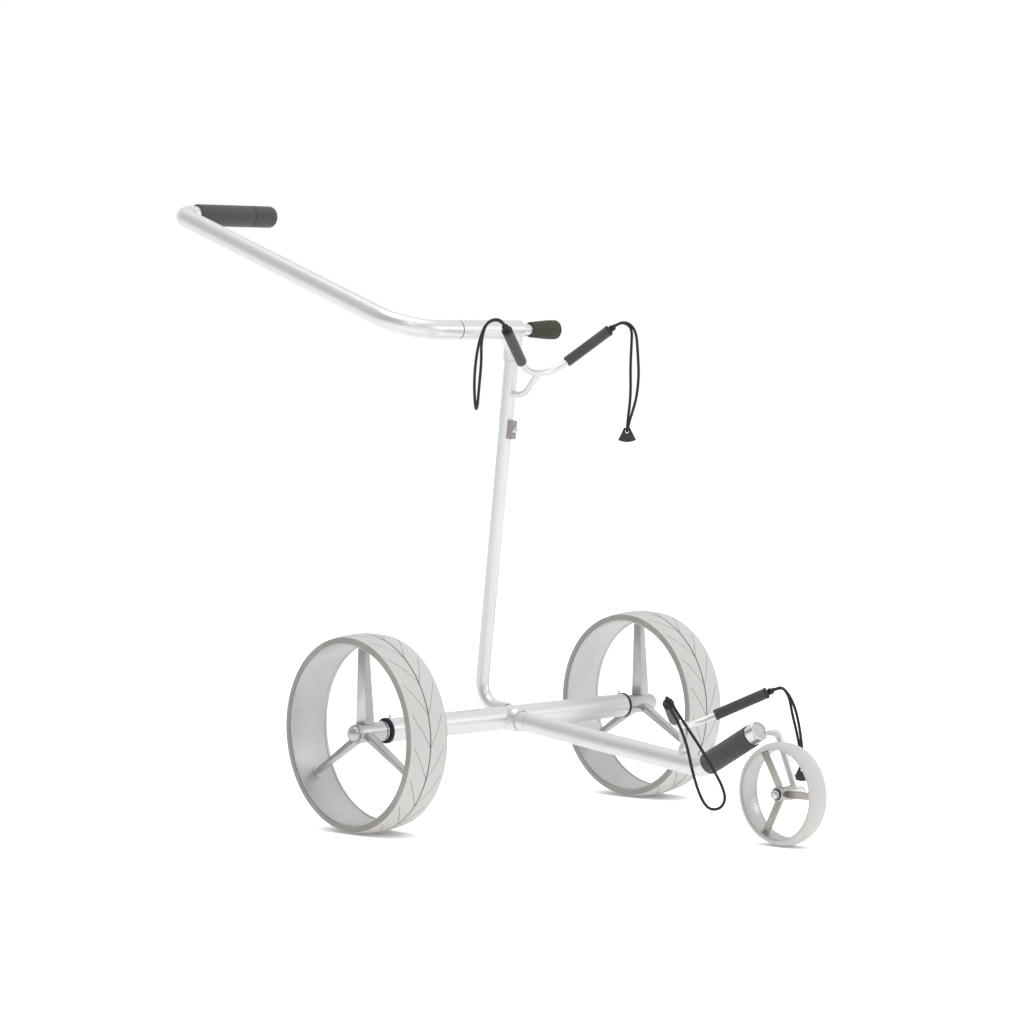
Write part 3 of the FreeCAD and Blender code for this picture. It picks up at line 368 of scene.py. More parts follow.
@dataclass(frozen=True)
class Foam(Finish):
    """Closed-cell foam, with small pores."""

    pore: float = 900.0
    pore_depth: float = 1.6e-4

    def dress(self, bench: Bench) -> None:
        """Pores sink into the surface, and their middles are darkened as painted shade in the pores."""
        here = bench.place()
        cells = bench.node("ShaderNodeTexVoronoi")
        cells.inputs["Scale"].default_value = self.pore
        bench.link(here, cells.inputs["Vector"])
        worn = bench.noise(here, 60.0, 4.0)
        # The pore pattern sinks the relief and darkens the colour at each pore's middle: painted shade in the
        # pores.
        cell = bench.remap(cells.outputs["Distance"], (0.15, 0.65), (0.0, 1.0))
        mixed = bench.math("ADD", bench.math("MULTIPLY", cell, 0.55), bench.math("MULTIPLY", worn, 0.45))
        tone = bench.mix(bench.remap(mixed, (0.25, 0.75), (0.0, 1.0)), self.dark, self.light)
        bench.link(tone, bench.shader.inputs["Base Color"])
        bench.link(bench.remap(worn, (0.3, 0.7), self.roughness), bench.shader.inputs["Roughness"])
        bench.give(Specular_IOR_Level=0.3, Sheen_Weight=0.25, Sheen_Roughness=0.6)
        bench.relief(cell, self.pore_depth, 0.8)


@dataclass(frozen=True)
class Moulded(Finish):
    """Moulded plastic, with a spark-eroded grain and worn patches."""

    grain: float = 1400.0
    grain_depth: float = 4e-5

    def dress(self, bench: Bench) -> None:
        """Grain in the relief, and tone and gloss that drift."""
        here = bench.place()
        drift = bench.noise(here, 55.0, 4.0)
        grain = bench.noise(here, self.grain, 2.0)
        tone = bench.mix(bench.remap(drift, (0.3, 0.7), (0.0, 1.0)), self.light, self.dark)
        bench.link(tone, bench.shader.inputs["Base Color"])
        bench.link(bench.remap(drift, (0.3, 0.7), self.roughness), bench.shader.inputs["Roughness"])
        bench.relief(grain, self.grain_depth)


@dataclass(frozen=True)
class Braid(Finish):
    """A braided sleeve, whose plaits cross on the piece's own map."""

    plaits: tuple[float, float] = (90.0, 4.0)
    plait_depth: float = 2.5e-4

    def dress(self, bench: Bench) -> None:
        """Two crossing sets of plaits, with fibres along each."""
        around = self.plaits[1]
        crossed = []
        for turn in (1, -1):
            band = bench.node("ShaderNodeTexWave", wave_type="BANDS", bands_direction="DIAGONAL")
            band.inputs["Scale"].default_value = 1.0
            band.inputs["Distortion"].default_value = 0.0
            bench.link(bench.place((self.plaits[0], around * turn, 0.0), on_uv=True), band.inputs["Vector"])
            crossed.append(band.outputs["Fac"])
        weave = bench.math("MAXIMUM", crossed[0], crossed[1])
        fibres = bench.noise(bench.place(), 2400.0, 2.0)
        mixed = bench.math("ADD", bench.math("MULTIPLY", weave, 0.7), bench.math("MULTIPLY", fibres, 0.3))
        tone = bench.mix(bench.remap(mixed, (0.2, 0.9), (0.0, 1.0)), self.dark, self.light)
        bench.link(tone, bench.shader.inputs["Base Color"])
        bench.link(bench.remap(fibres, (0.3, 0.7), self.roughness), bench.shader.inputs["Roughness"])
        bench.give(Sheen_Weight=0.3, Sheen_Roughness=0.5, Specular_IOR_Level=0.3)
        bench.relief(mixed, self.plait_depth, 0.9)


SATIN = Anodised("satin_aluminium", "satin_aluminium", shade(0.66, -0.004), shade(0.60, -0.004), (0.24, 0.34))
SATIN_FINE = Anodised("satin_rim", "satin_aluminium", shade(0.66, 0.004), shade(0.58, 0.006), (0.32, 0.46))
POLISHED = Anodised("polished_steel", "bright_steel", shade(0.82), shade(0.72), (0.05, 0.12),
                    grain=1800.0, grain_depth=1e-6)
CAST = Anodised("satin_steel", "brushed_steel", shade(0.66, 0.02), shade(0.56, 0.03), (0.26, 0.38),
                grain=1900.0, grain_depth=8e-6)
BRUSHED = Brushed("brushed_steel", "brushed_steel", shade(0.58, 0.05), shade(0.42, 0.07), (0.24, 0.42))
TURNED = Turned("turned_steel", "brushed_steel", shade(0.66, 0.03), shade(0.45, 0.05), (0.2, 0.36))
COLLAR = Turned("collar_steel", "bright_steel", (0.62, 0.58, 0.70, 1), (0.46, 0.42, 0.58, 1), (0.08, 0.2))
SPRING = Anodised("spring_wire", "spring_steel", shade(0.55), shade(0.42), (0.2, 0.3),
                  grain=1500.0, grain_depth=2e-6)
BRASS = Turned("machined_brass", "brass", (0.78, 0.60, 0.30, 1), (0.62, 0.46, 0.20, 1), (0.18, 0.3))
TYRE = Rubber("tyre_grey", "tyre_grey", shade(0.60, 0.02), shade(0.52, 0.025), (0.55, 0.7))
# A darker copy of the tyre rubber for the side edges: painted shade where the rounded edges turn from the
# light.
TYRE_EDGE_PAINTED_SHADE = Rubber("tyre_edge", "tyre_grey", shade(0.42, 0.05), shade(0.34, 0.06), (0.5, 0.62))
# A darker copy of the tyre rubber for the groove faces: painted shade in the grooves.
GROOVE_PAINTED_SHADE = Rubber("tyre_groove", "tyre_grey", shade(0.34, 0.03), shade(0.26, 0.03), (0.7, 0.8))
FOAM = Foam("foam_charcoal", "foam_black", shade(0.085, -0.02), shade(0.035, -0.02), (0.75, 0.92))
NYLON = Moulded("nylon_black", "nylon_black", shade(0.022), shade(0.012), (0.32, 0.5))
SEAL = Moulded("seal_black", "nylon_black", shade(0.016), shade(0.01), (0.22, 0.4))
KNOB = Moulded("knob_olive", "knob_olive", (0.045, 0.046, 0.028, 1), (0.026, 0.027, 0.016, 1), (0.34, 0.52))
BLOCK = Moulded("block_grey", "block_grey", (0.36, 0.31, 0.28, 1), (0.27, 0.23, 0.21, 1), (0.5, 0.66),
                grain=900.0, grain_depth=9e-5)
DISC = Moulded("cap_grey", "cap_grey", (0.42, 0.44, 0.48, 1), (0.28, 0.30, 0.33, 1), (0.4, 0.6),
               grain=1800.0, grain_depth=1.4e-4)
CORD = Braid("cord_black", "cord_black", shade(0.030), shade(0.008), (0.6, 0.8))

NODE_FINISHES = {
    SATIN: ("axle_tube", "mast_tube", "head_elbow", "clamp_tube", "lower_stub", "upper_cradle", "handle_tube",
            "handle_plug", "lower_spigot", "lower_tube", "front_arm", "lower_cradle"),
    POLISHED: ("right_release_button", "left_release_button", "chassis_screws"),
    TURNED: ("clamp_rod", "right_rear_bearings", "left_rear_bearings"),
    BRASS: ("knob_insert",),
    SPRING: ("latch_carrier", "latch_spring", "right_button_spring", "left_button_spring"),
    NYLON: ("axle_bushes", "latch_button", "knob_washer", "head_ring", "front_bearings"),
}


# ---- Modelling ----

def only(*pieces: Piece) -> None:
    """Select these pieces alone, and make the first the active one."""
    for other in bpy.context.view_layer.objects:
        other.select_set(False)
    for piece in pieces:
        piece.select_set(True)
    bpy.context.view_layer.objects.active = pieces[0] if pieces else None


@contextmanager
def editing(piece: Piece) -> Iterator[None]:
    """Edit mode on one piece, with all of it selected at the start."""
    only(piece)
    bpy.ops.object.mode_set(mode="EDIT")
    bpy.ops.mesh.select_all(action="SELECT")
    yield
    bpy.ops.object.mode_set(mode="OBJECT")


def named(name: str) -> Piece:
    """The primitive just added, given a name and its place put into its mesh."""
    piece = bpy.context.object
    piece.name = piece.data.name = name
    only(piece)
    bpy.ops.object.transform_apply(location=True, rotation=True, scale=True)
    return piece


def heal(piece: Piece) -> None:
    """Merge a piece's doubles and turn its faces outwards."""
    with editing(piece):
        bpy.ops.mesh.remove_doubles(threshold=WELD)
        bpy.ops.mesh.normals_make_consistent(inside=False)


def smooth(piece: Piece, angle: float = SMOOTH_ANGLE) -> None:
    """Smooth a piece's shading, except across sharp edges."""
    only(piece)
    bpy.ops.object.shade_smooth_by_angle(angle=angle)


def apply(piece: Piece, kind: str, **settings: object) -> None:
    """Add a modifier to a piece and apply it.

    Args:
        piece: the piece.
        kind: the modifier's type.
        settings: the modifier's properties by name.
    """
    modifier = piece.modifiers.new(kind.title(), kind)
    for key, value in settings.items():
        setattr(modifier, key, value)
    only(piece)
    bpy.ops.object.modifier_apply(modifier=modifier.name)


def round_edges(piece: Piece, width: float, segments: int = 2, angle: float = 30.0) -> None:
    """Bevel a piece's sharp edges.

    Args:
        piece: the piece.
        width: the bevel's width.
        segments: how many faces it has across.
        angle: the least angle in degrees that counts as sharp.
    """
    apply(piece, "BEVEL", width=width, segments=segments, limit_method="ANGLE",
          angle_limit=math.radians(angle), use_clamp_overlap=True, harden_normals=False)


def carve(piece: Piece, cutter: Piece) -> None:
    """Cut one piece out of another, and remove the cutter."""
    apply(piece, "BOOLEAN", object=cutter, operation="DIFFERENCE", solver="EXACT")
    bpy.data.objects.remove(cutter)


def joined(name: str, pieces: Sequence[Piece]) -> Piece:
    """Several meshes made one piece.

    Args:
        name: the new piece's name.
        pieces: the meshes, of which the first is kept.

    Returns:
        The joined piece.
    """
    only(*pieces)
    bpy.ops.object.join()
    pieces[0].name = pieces[0].data.name = name
    return pieces[0]


def twin(piece: Piece, name: str, move: Matrix) -> Piece:
    """A copy of a piece with its own mesh, moved by a matrix."""
    copy = piece.copy()
    copy.data = piece.data.copy()
    copy.name = copy.data.name = name
    bpy.context.scene.collection.objects.link(copy)
    copy.data.transform(move)
    if move.determinant() < 0:
        copy.data.flip_normals()
    return copy


def mirrored(outline: Outline) -> Outline:
    """An outline's reflection across the middle of its axis, last point first."""
    return [(radius, -station) for radius, station in reversed(outline)]


def turn_about(centre: Vector, axis: Vector, angle: float) -> Matrix:
    """The matrix of a turn about a line."""
    return Matrix.Translation(centre) @ Matrix.Rotation(angle, 4, axis) @ Matrix.Translation(-centre)


def arc(radius: float, station: float, size: float, start: float, end: float, steps: int = 5) -> Outline:
    """A rounded corner of an outline.

    Args:
        radius: the arc centre's distance from the axis.
        station: the arc centre's place along the axis.
        size: the arc's own radius.
        start: its first angle in degrees, from the outward direction towards the axis's end.
        end: its last angle.
        steps: how many straight bits stand for it.

    Returns:
        The outline points, first to last.
    """
    turns = [math.radians(start + (end - start) * step / steps) for step in range(steps + 1)]
    return [(radius + size * math.cos(turn), station + size * math.sin(turn)) for turn in turns]


@dataclass(frozen=True)
class Axis:
    """A line that a piece is turned about, with one direction square to it."""

    base: Vector
    along: Vector

    @property
    def across(self) -> Vector:
        """A direction square to the axis."""
        helper = Vector((0, 0, 1)) if abs(self.along.z) < 0.9 else Vector((1, 0, 0))
        return self.along.cross(helper).normalized()

    def point(self, radius: float, station: float) -> Vector:
        """An outline point in the frame."""
        return self.base + self.along * station + self.across * radius

    def lathe(self, name: str, outline: Outline, steps: int = 64) -> Piece:
        """Draw a closed outline from one vertex, and spin it round the axis.

        Args:
            name: the piece's name.
            outline: (radius, station) points, in order round the section.
            steps: how many faces go round.

        Returns:
            The closed, smooth-shaded piece.
        """
        points = [self.point(radius, station) for radius, station in outline]
        only()
        bpy.ops.mesh.primitive_plane_add(size=MM, location=points[0])
        piece = named(name)
        with editing(piece):
            bpy.ops.mesh.merge(type="CENTER")
            for before, after in zip(points, points[1:] + points[:1]):
                bpy.ops.mesh.extrude_vertices_move(TRANSFORM_OT_translate={"value": after - before})
            bpy.ops.mesh.select_all(action="SELECT")
            bpy.ops.mesh.remove_doubles(threshold=WELD)
            bpy.ops.mesh.spin(steps=steps, angle=TAU, center=self.base, axis=self.along)
        heal(piece)
        smooth(piece)
        return piece


def map_along(piece: Piece, along: Vector, across: Vector) -> None:
    """Lay a flat map on a piece, in metres, so that a pattern can follow it.

    Args:
        piece: the piece.
        along: the direction that U follows.
        across: the direction that V follows.
    """
    mesh = piece.data
    layer = mesh.uv_layers.active or mesh.uv_layers.new(name="grain")
    for loop in mesh.loops:
        place = mesh.vertices[loop.vertex_index].co
        layer.data[loop.index].uv = (place.dot(along), place.dot(across))


def finish_piece(piece: Piece, finish: Finish, body: str, *nodes: str, keep_materials: bool = False) -> Piece:
    """Dress a finished piece, tie it to its body and report it.

    Args:
        piece: the piece.
        finish: its finish.
        body: the body it rides on.
        nodes: the CAD nodes it stands for.
        keep_materials: leave the materials that its faces have.

    Returns:
        The piece.
    """
    if not keep_materials:
        piece.data.materials.clear()
        piece.data.materials.append(finish.material())
    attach(piece, body)
    if nodes:
        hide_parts(*nodes)
    LOG.info("%s: %s on %s", piece.name, finish.name, body)
    return piece


# ---- Studio ----

@dataclass
class Studio:
    """A white seamless studio that is darker on one side."""

    camera_place: Vector = field(default_factory=lambda: Vector((3.4758, -3.1955, 0.6088)))
    camera_aim: Vector = field(default_factory=lambda: Vector((-0.0350, 0.0015, 0.4405)))
    camera_roll: float = math.radians(-1.09)
    lens: float = 114.8
    far_clip: float = 200.0
    floor_size: float = 120.0
    floor_glow: float = 0.80
    floor_bounce: float = 0.25
    # How far the floor's glow fades under the cart: the reach of a painted contact shadow.
    contact_reach: float = 0.05
    dark_side: Vector = field(default_factory=lambda: Vector((0.2, -0.95, 0.05)))
    dark_slope: tuple[float, float] = (-0.15, 0.85)
    sky_levels: tuple[float, float] = (0.82, 0.42)
    lit_middle: Vector = field(default_factory=lambda: Vector((0, 0, 0.35)))

    def build(self) -> None:
        """Make the camera, the floor, the sky and the lamps."""
        self.camera()
        self.floor()
        self.sky()
        self.lamp("top_lamp", Vector((0.2, -0.3, 3.2)), 2.6, 26.0)
        self.lamp("near_lamp", Vector((3.2, -2.2, 2.6)), 1.2, 8.0)
        self.lamp("side_lamp", Vector((3.2, 1.8, 1.4)), 1.4, 9.0)
        bpy.context.scene.view_settings.view_transform = "Standard"

    def camera(self) -> None:
        """The camera, level but for a small roll."""
        lens = bpy.data.cameras.new("camera")
        lens.lens = self.lens
        lens.sensor_width = 36.0
        lens.clip_end = self.far_clip
        made = bpy.data.objects.new("camera", lens)
        bpy.context.scene.collection.objects.link(made)
        made.location = self.camera_place
        look = (self.camera_aim - self.camera_place).to_track_quat("-Z", "Y")
        made.rotation_mode = "QUATERNION"
        made.rotation_quaternion = look @ Quaternion((0, 0, 1), self.camera_roll)
        bpy.context.scene.camera = made

    def floor(self) -> None:
        """The pale floor, which glows for the camera except close under the cart, where the glow fades as a
        painted contact shadow.
        """
        only()
        bpy.ops.mesh.primitive_plane_add(size=self.floor_size)
        floor = named("floor")
        bench = Bench("studio_floor")
        bench.give(Base_Color=shade(0.9), Roughness=0.9, Specular_IOR_Level=0.1, Emission_Color=shade(1.0))
        # Occlusion dims the floor's glow close under the cart, which paints a contact shadow there.
        painted_contact_shadow = bench.node("ShaderNodeAmbientOcclusion", samples=8)
        painted_contact_shadow.inputs["Distance"].default_value = self.contact_reach
        glow_less_painted_shadow = bench.remap(painted_contact_shadow.outputs["AO"], (0.25, 0.85), (0.0, self.floor_glow))
        seen = bench.node("ShaderNodeLightPath")
        pick = bench.node("ShaderNodeMix")
        pick.inputs[2].default_value = self.floor_bounce
        bench.link(seen.outputs["Is Camera Ray"], pick.inputs[0])
        bench.link(glow_less_painted_shadow, pick.inputs[3])
        bench.link(pick.outputs[0], bench.shader.inputs["Emission Strength"])
        floor.data.materials.append(bench.material)

    def sky(self) -> None:
        """White all round, less bright on the cart's right, which models the tubes' shading."""
        world = bpy.data.worlds.new("studio")
        world.use_nodes = True
        tree = world.node_tree
        bpy.context.scene.world = world
        nodes, links = tree.nodes, tree.links
        place = nodes.new("ShaderNodeTexCoord")
        facing = nodes.new("ShaderNodeVectorMath")
        facing.operation = "DOT_PRODUCT"
        facing.inputs[1].default_value = self.dark_side.normalized()
        links.new(place.outputs["Generated"], facing.inputs[0])
        fade = nodes.new("ShaderNodeMapRange")
        for name, value in zip(RANGE_SOCKETS, (*self.dark_slope, *self.sky_levels)):
            fade.inputs[name].default_value = value
        links.new(facing.outputs["Value"], fade.inputs["Value"])
        seen = nodes.new("ShaderNodeLightPath")
        pick = nodes.new("ShaderNodeMix")
        links.new(seen.outputs["Is Camera Ray"], pick.inputs[0])
        links.new(fade.outputs["Result"], pick.inputs[2])
        pick.inputs[3].default_value = 1.0
        links.new(pick.outputs[0], nodes["Background"].inputs["Strength"])
        nodes["Background"].inputs["Color"].default_value = shade(1.0)

    def lamp(self, name: str, offset: Vector, size: float, power: float) -> None:
        """One soft square lamp that faces the middle of the cart.

        Args:
            name: its name.
            offset: where it hangs, from that middle.
            size: its side.
            power: its power in watts.
        """
        light = bpy.data.lights.new(name, "AREA")
        light.size = size
        light.energy = power
        made = bpy.data.objects.new(name, light)
        bpy.context.scene.collection.objects.link(made)
        made.location = self.lit_middle + offset
        made.rotation_mode = "QUATERNION"
        made.rotation_quaternion = (-offset).to_track_quat("-Z", "Y")


# ---- Elastic cords ----

@dataclass
class ElasticCord:
    """A loop of elastic cord from a cradle's knot and back to it."""

    level: Level
    side: Side
    length: float
    route: Sequence[tuple[float, float, float]]
    thickness: float = 0.004

    @property
    def node(self) -> str:
        """The CAD node that the loop stands for."""
        return f"{self.level.word}_{self.side.word}_cord"

    def build(self, with_pieces: Sequence[Piece] = ()) -> Piece:
        """Make the cord on one smooth line.

        Args:
            with_pieces: what hangs on the cord. It is not used.

        Returns:
            The cord.
        """
        curve = bpy.data.curves.new(f"{self.node}_loop", "CURVE")
        curve.dimensions = "3D"
        curve.bevel_depth = self.thickness / 2
        curve.bevel_resolution = 5
        curve.resolution_u = 10
        curve.use_fill_caps = True
        spline = curve.splines.new("NURBS")
        spline.points.add(len(self.route) - 1)
        for point, place in zip(spline.points, self.route):
            point.co = (*place, 1.0)
        spline.order_u = 3
        spline.use_endpoint_u = True
        piece = bpy.data.objects.new(curve.name, curve)
        bpy.context.scene.collection.objects.link(piece)
        finish_piece(piece, CORD, self.level.value, self.node)
        return piece


CORDS = [
    ElasticCord(Level.UPPER, Side.RIGHT, 0.335, [
        (0.0784, -0.1070, 0.7049), (0.0824, -0.1142, 0.7106), (0.082, -0.128, 0.717), (0.074, -0.140, 0.7115),
        (0.069, -0.1475, 0.691), (0.0665, -0.1535, 0.663), (0.068, -0.1595, 0.6275), (0.063, -0.1535, 0.5925),
        (0.048, -0.1365, 0.592), (0.0445, -0.129, 0.623), (0.0545, -0.1325, 0.659), (0.0585, -0.136, 0.6875),
        (0.069, -0.136, 0.7115), (0.077, -0.1255, 0.718), (0.0791, -0.1133, 0.7140),
        (0.0751, -0.1061, 0.7083)]),
    ElasticCord(Level.UPPER, Side.LEFT, 0.370, [
        (0.0787, 0.1052, 0.7069), (0.0827, 0.1124, 0.7126), (0.091, 0.1225, 0.712), (0.100, 0.1285, 0.699),
        (0.103, 0.128, 0.6695), (0.103, 0.1295, 0.6345), (0.098, 0.1285, 0.6015), (0.0905, 0.1225, 0.573),
        (0.087, 0.1194, 0.5546), (0.0795, 0.126, 0.5546), (0.0805, 0.127, 0.571), (0.0815, 0.130, 0.5875),
        (0.0835, 0.1315, 0.613), (0.0825, 0.1325, 0.6465), (0.084, 0.134, 0.6785), (0.086, 0.134, 0.703),
        (0.083, 0.125, 0.7115), (0.0788, 0.1150, 0.7121), (0.0748, 0.1079, 0.7063)]),
    ElasticCord(Level.LOWER, Side.RIGHT, 0.380, [
        (0.3839, -0.1032, 0.1933), (0.3897, -0.1104, 0.1970), (0.395, -0.115, 0.196), (0.405, -0.119, 0.186),
        (0.414, -0.1135, 0.168), (0.4205, -0.106, 0.140), (0.424, -0.101, 0.1075), (0.4275, -0.094, 0.079),
        (0.4315, -0.0855, 0.0585), (0.436, -0.0765, 0.051), (0.4425, -0.0655, 0.053), (0.4455, -0.0595, 0.0645),
        (0.4425, -0.0615, 0.0805), (0.4365, -0.0675, 0.098), (0.4285, -0.079, 0.1235), (0.418, -0.091, 0.1495),
        (0.409, -0.1045, 0.1745), (0.4025, -0.117, 0.197), (0.392, -0.113, 0.2025),
        (0.3872, -0.1103, 0.2011), (0.3814, -0.1030, 0.1974)]),
    ElasticCord(Level.LOWER, Side.LEFT, 0.280, [
        (0.3845, 0.1016, 0.1954), (0.3903, 0.1088, 0.1991), (0.3905, 0.120, 0.1955), (0.394, 0.132, 0.177),
        (0.3985, 0.1365, 0.1525), (0.400, 0.1405, 0.124), (0.401, 0.142, 0.100), (0.4006, 0.142, 0.082),
        (0.394, 0.1488, 0.082), (0.392, 0.1485, 0.0985), (0.3905, 0.1465, 0.116), (0.388, 0.143, 0.1385),
        (0.3855, 0.138, 0.1615), (0.385, 0.134, 0.1835), (0.385, 0.122, 0.197), (0.3866, 0.1119, 0.1990),
        (0.3808, 0.1046, 0.1953)]),
]


# ---- Copies of plain parts, with softened edges ----

def softened(node: str, name: str, width: float, segments: int = 2) -> Piece:
    """A copy of a CAD node with its sharp edges rounded.

    Args:
        node: the node's name.
        name: the piece's name.
        width: the rounding's width.
        segments: how many faces go across it.

    Returns:
        The piece, with its mesh in the frame's axes.
    """
    source = frame["nodes"][node]
    copy = source.copy()
    copy.data = source.data.copy()
    copy.name = copy.data.name = name
    copy.parent = None
    bpy.context.scene.collection.objects.link(copy)
    copy.data.transform(source.matrix_world)
    copy.matrix_world = Matrix.Identity(4)
    with editing(copy):
        bpy.ops.mesh.remove_doubles(threshold=WELD)
        bpy.ops.mesh.dissolve_limited(angle_limit=FLAT_ANGLE)
    round_edges(copy, width, segments)
    heal(copy)
    smooth(copy)
    return copy


def dress_node(node: str, finish: Finish) -> None:
    """Put a finish on a CAD node that keeps its own mesh."""
    for material_slot in frame["nodes"][node].material_slots:
        material_slot.material = finish.material()


# ---- Rear wheels ----

@dataclass
class RearWheel:
    """A rear wheel: a moulded tyre on a drum rim, with three blades to a domed hub."""

    side: Side
    centre_x: float = -0.050
    centre_y: float = 0.2713
    crown_r: float = 0.140
    shoulder_r: float = 0.136
    half_width: float = 0.03465
    edge_round: float = 0.0022
    lip_r: float = 0.1284
    rim_r: float = 0.130
    rim_bore_r: float = 0.1272
    rim_half: float = 0.033
    bead: float = 0.0011
    groove_count: int = 19
    groove_reach: float = 0.0265
    groove_depth: float = 0.00135
    groove_half: float = 0.0021
    groove_steps: int = 9
    ring_half: float = 0.0011
    ring_clear: float = 0.001
    ring_slope: tuple[float, float] = (0.55, 1.3)
    tread_steps: int = 8
    tyre_facets: int = 190
    rim_facets: int = 160
    pad_r: float = 0.0095
    pad_height: float = 0.0030
    pad_sink: float = 0.0006
    pad_squash: float = 0.62
    pad_round: float = 0.0011
    hub_r: float = 0.014
    hub_bore_r: float = 0.0105
    hub_back: float = -0.0295
    hub_edge: float = 0.0005
    hub_step: tuple[float, float] = (0.0152, 0.0162)
    dome_r: float = 0.0132
    dome_start: float = 0.0170
    dome_floor: float = 0.011
    hub_nose: float = 0.0290
    blade_round: float = 0.0007
    blade_angles: tuple[float, ...] = (0.0, 120.0, 240.0)

    @property
    def centre(self) -> Vector:
        """The wheel's middle."""
        return Vector((self.centre_x, self.side.value * self.centre_y, self.crown_r))

    @property
    def axis(self) -> Axis:
        """The wheel's axis, outwards."""
        return Axis(self.centre, Vector((0, self.side.value, 0)))

    @property
    def body(self) -> str:
        """The body that the wheel is."""
        return f"{self.side.word}_wheel"

    def crown(self, station: float) -> float:
        """The tread's radius at a station across it."""
        return self.crown_r - (self.crown_r - self.shoulder_r) * (station / self.half_width) ** 2

    def tyre_outline(self) -> Outline:
        """The tyre's section: a crowned tread, rounded edges and a lip over the rim."""
        reach = self.half_width - self.edge_round
        steps = self.tread_steps
        tread = [(self.crown(reach * step / steps), reach * step / steps)
                 for step in range(-steps, steps + 1)]
        edge_r = self.crown(reach) - self.edge_round
        out = arc(edge_r, reach, self.edge_round, 15, 90)
        inside = [(self.lip_r, self.half_width), (self.lip_r, self.rim_half), (self.rim_r, self.rim_half)]
        return mirrored(out) + tread + out + inside + mirrored(inside)

    def groove_arm(self, direction: int) -> Piece:
        """A cutter for half a chevron, from the tread's side down to the centre groove.

        Args:
            direction: 1 for the half towards +Y, -1 for the other.

        Returns:
            The cutter, at the top of the wheel.
        """
        start = self.groove_reach
        top = self.crown(start) - self.groove_depth
        place = self.centre + Vector((0, direction * start, top + 2 * self.groove_half))
        only()
        bpy.ops.mesh.primitive_circle_add(vertices=3, radius=2 * self.groove_half, fill_type="NGON",
                                          location=place, rotation=(math.radians(-90), 0, 0))
        piece = named("groove_arm")
        step = (start - self.ring_half * 0.8) / self.groove_steps
        pitch = math.radians(360 / self.groove_count)
        with editing(piece):
            bpy.ops.transform.rotate(value=pitch, orient_axis="Y", orient_type="GLOBAL",
                                     center_override=self.centre)
            for index in range(self.groove_steps):
                rise = self.crown(start - (index + 1) * step) - self.crown(start - index * step)
                turned = pitch * (1 - index / self.groove_steps)
                lift = Vector((-rise * math.sin(turned), -direction * step, rise * math.cos(turned)))
                bpy.ops.mesh.extrude_region_move(TRANSFORM_OT_translate={"value": lift})
                bpy.ops.transform.rotate(value=-pitch / self.groove_steps, orient_axis="Y",
                                         orient_type="GLOBAL", center_override=self.centre)
        return piece

    def tread_cutter(self) -> Piece:
        """The cutter for every chevron round the tread."""
        arms = [self.groove_arm(1), self.groove_arm(-1)]
        chevron = joined("chevron", arms)
        copies = [chevron]
        for index in range(1, self.groove_count):
            turn = turn_about(self.centre, Vector((0, 1, 0)), TAU * index / self.groove_count)
            copies.append(twin(chevron, f"chevron_{index}", turn))
        cutter = joined("tread_cutter", copies)
        heal(cutter)
        return cutter

    def ring_cutter(self) -> Piece:
        """The cutter for the groove round the tread's middle."""
        floor, mouth = self.ring_slope
        side = [(self.crown_r + self.ring_clear, self.ring_half * mouth),
                (self.crown_r - self.groove_depth, self.ring_half * floor)]
        return self.axis.lathe("ring_cutter", mirrored(side) + side, self.tyre_facets)

    def tyre(self) -> Piece:
        """The tyre with its tread cut in, and darker rubber on its groove faces and side edges as painted
        shade.
        """
        piece = self.axis.lathe(f"{self.side.word}_moulded_tyre", self.tyre_outline(), self.tyre_facets)
        finishes = (TYRE, GROOVE_PAINTED_SHADE, TYRE_EDGE_PAINTED_SHADE)
        for finish in finishes:
            piece.data.materials.append(finish.material())
        # The cutters' faces become the groove faces, which take the darker rubber as painted shade in the
        # grooves.
        for cutter in (self.tread_cutter(), self.ring_cutter()):
            cutter.data.materials.clear()
            for finish in finishes:
                cutter.data.materials.append(finish.material())
            cutter.data.polygons.foreach_set("material_index", [1] * len(cutter.data.polygons))
            carve(piece, cutter)
        # Plain faces near the tyre's sides take the darker rubber: painted shade on the side edges.
        for face in piece.data.polygons:
            across = face.center - self.centre
            if abs(across.y) > self.half_width - 1.2 * self.edge_round and face.material_index == 0:
                face.material_index = 2
        smooth(piece)
        return finish_piece(piece, TYRE, self.body, f"{self.side.word}_rear_tyre", keep_materials=True)

    def rim(self) -> Piece:
        """The drum rim, with a bead inside each edge and a pad under each blade."""
        half, bore, bead = self.rim_half, self.rim_bore_r, self.bead
        inner = arc(bore, half - bead, bead, 90, 180) + arc(bore, half - 3 * bead, bead, 180, 200, 1)
        inner.append((bore, half - 4 * bead))
        outline = [(self.rim_r, -half), (self.rim_r, half)] + inner + mirrored(inner)
        drum = self.axis.lathe(f"{self.side.word}_drum_rim", outline, self.rim_facets)
        pads = []
        for angle in self.blade_angles:
            only()
            bpy.ops.mesh.primitive_cylinder_add(vertices=32, radius=self.pad_r, depth=self.pad_height,
                                                location=self.centre + Vector((0, 0, bore - self.pad_sink)))
            pad = named("pad")
            pad.data.transform(Matrix.Translation(self.centre) @ Matrix.Diagonal((1, self.pad_squash, 1, 1))
                               @ Matrix.Translation(-self.centre))
            round_edges(pad, self.pad_round, 3)
            pad.data.transform(turn_about(self.centre, Vector((0, 1, 0)), math.radians(angle)))
            pads.append(pad)
        piece = joined(drum.name, [drum, *pads])
        smooth(piece)
        return finish_piece(piece, SATIN_FINE, self.body, f"{self.side.word}_rear_rim")

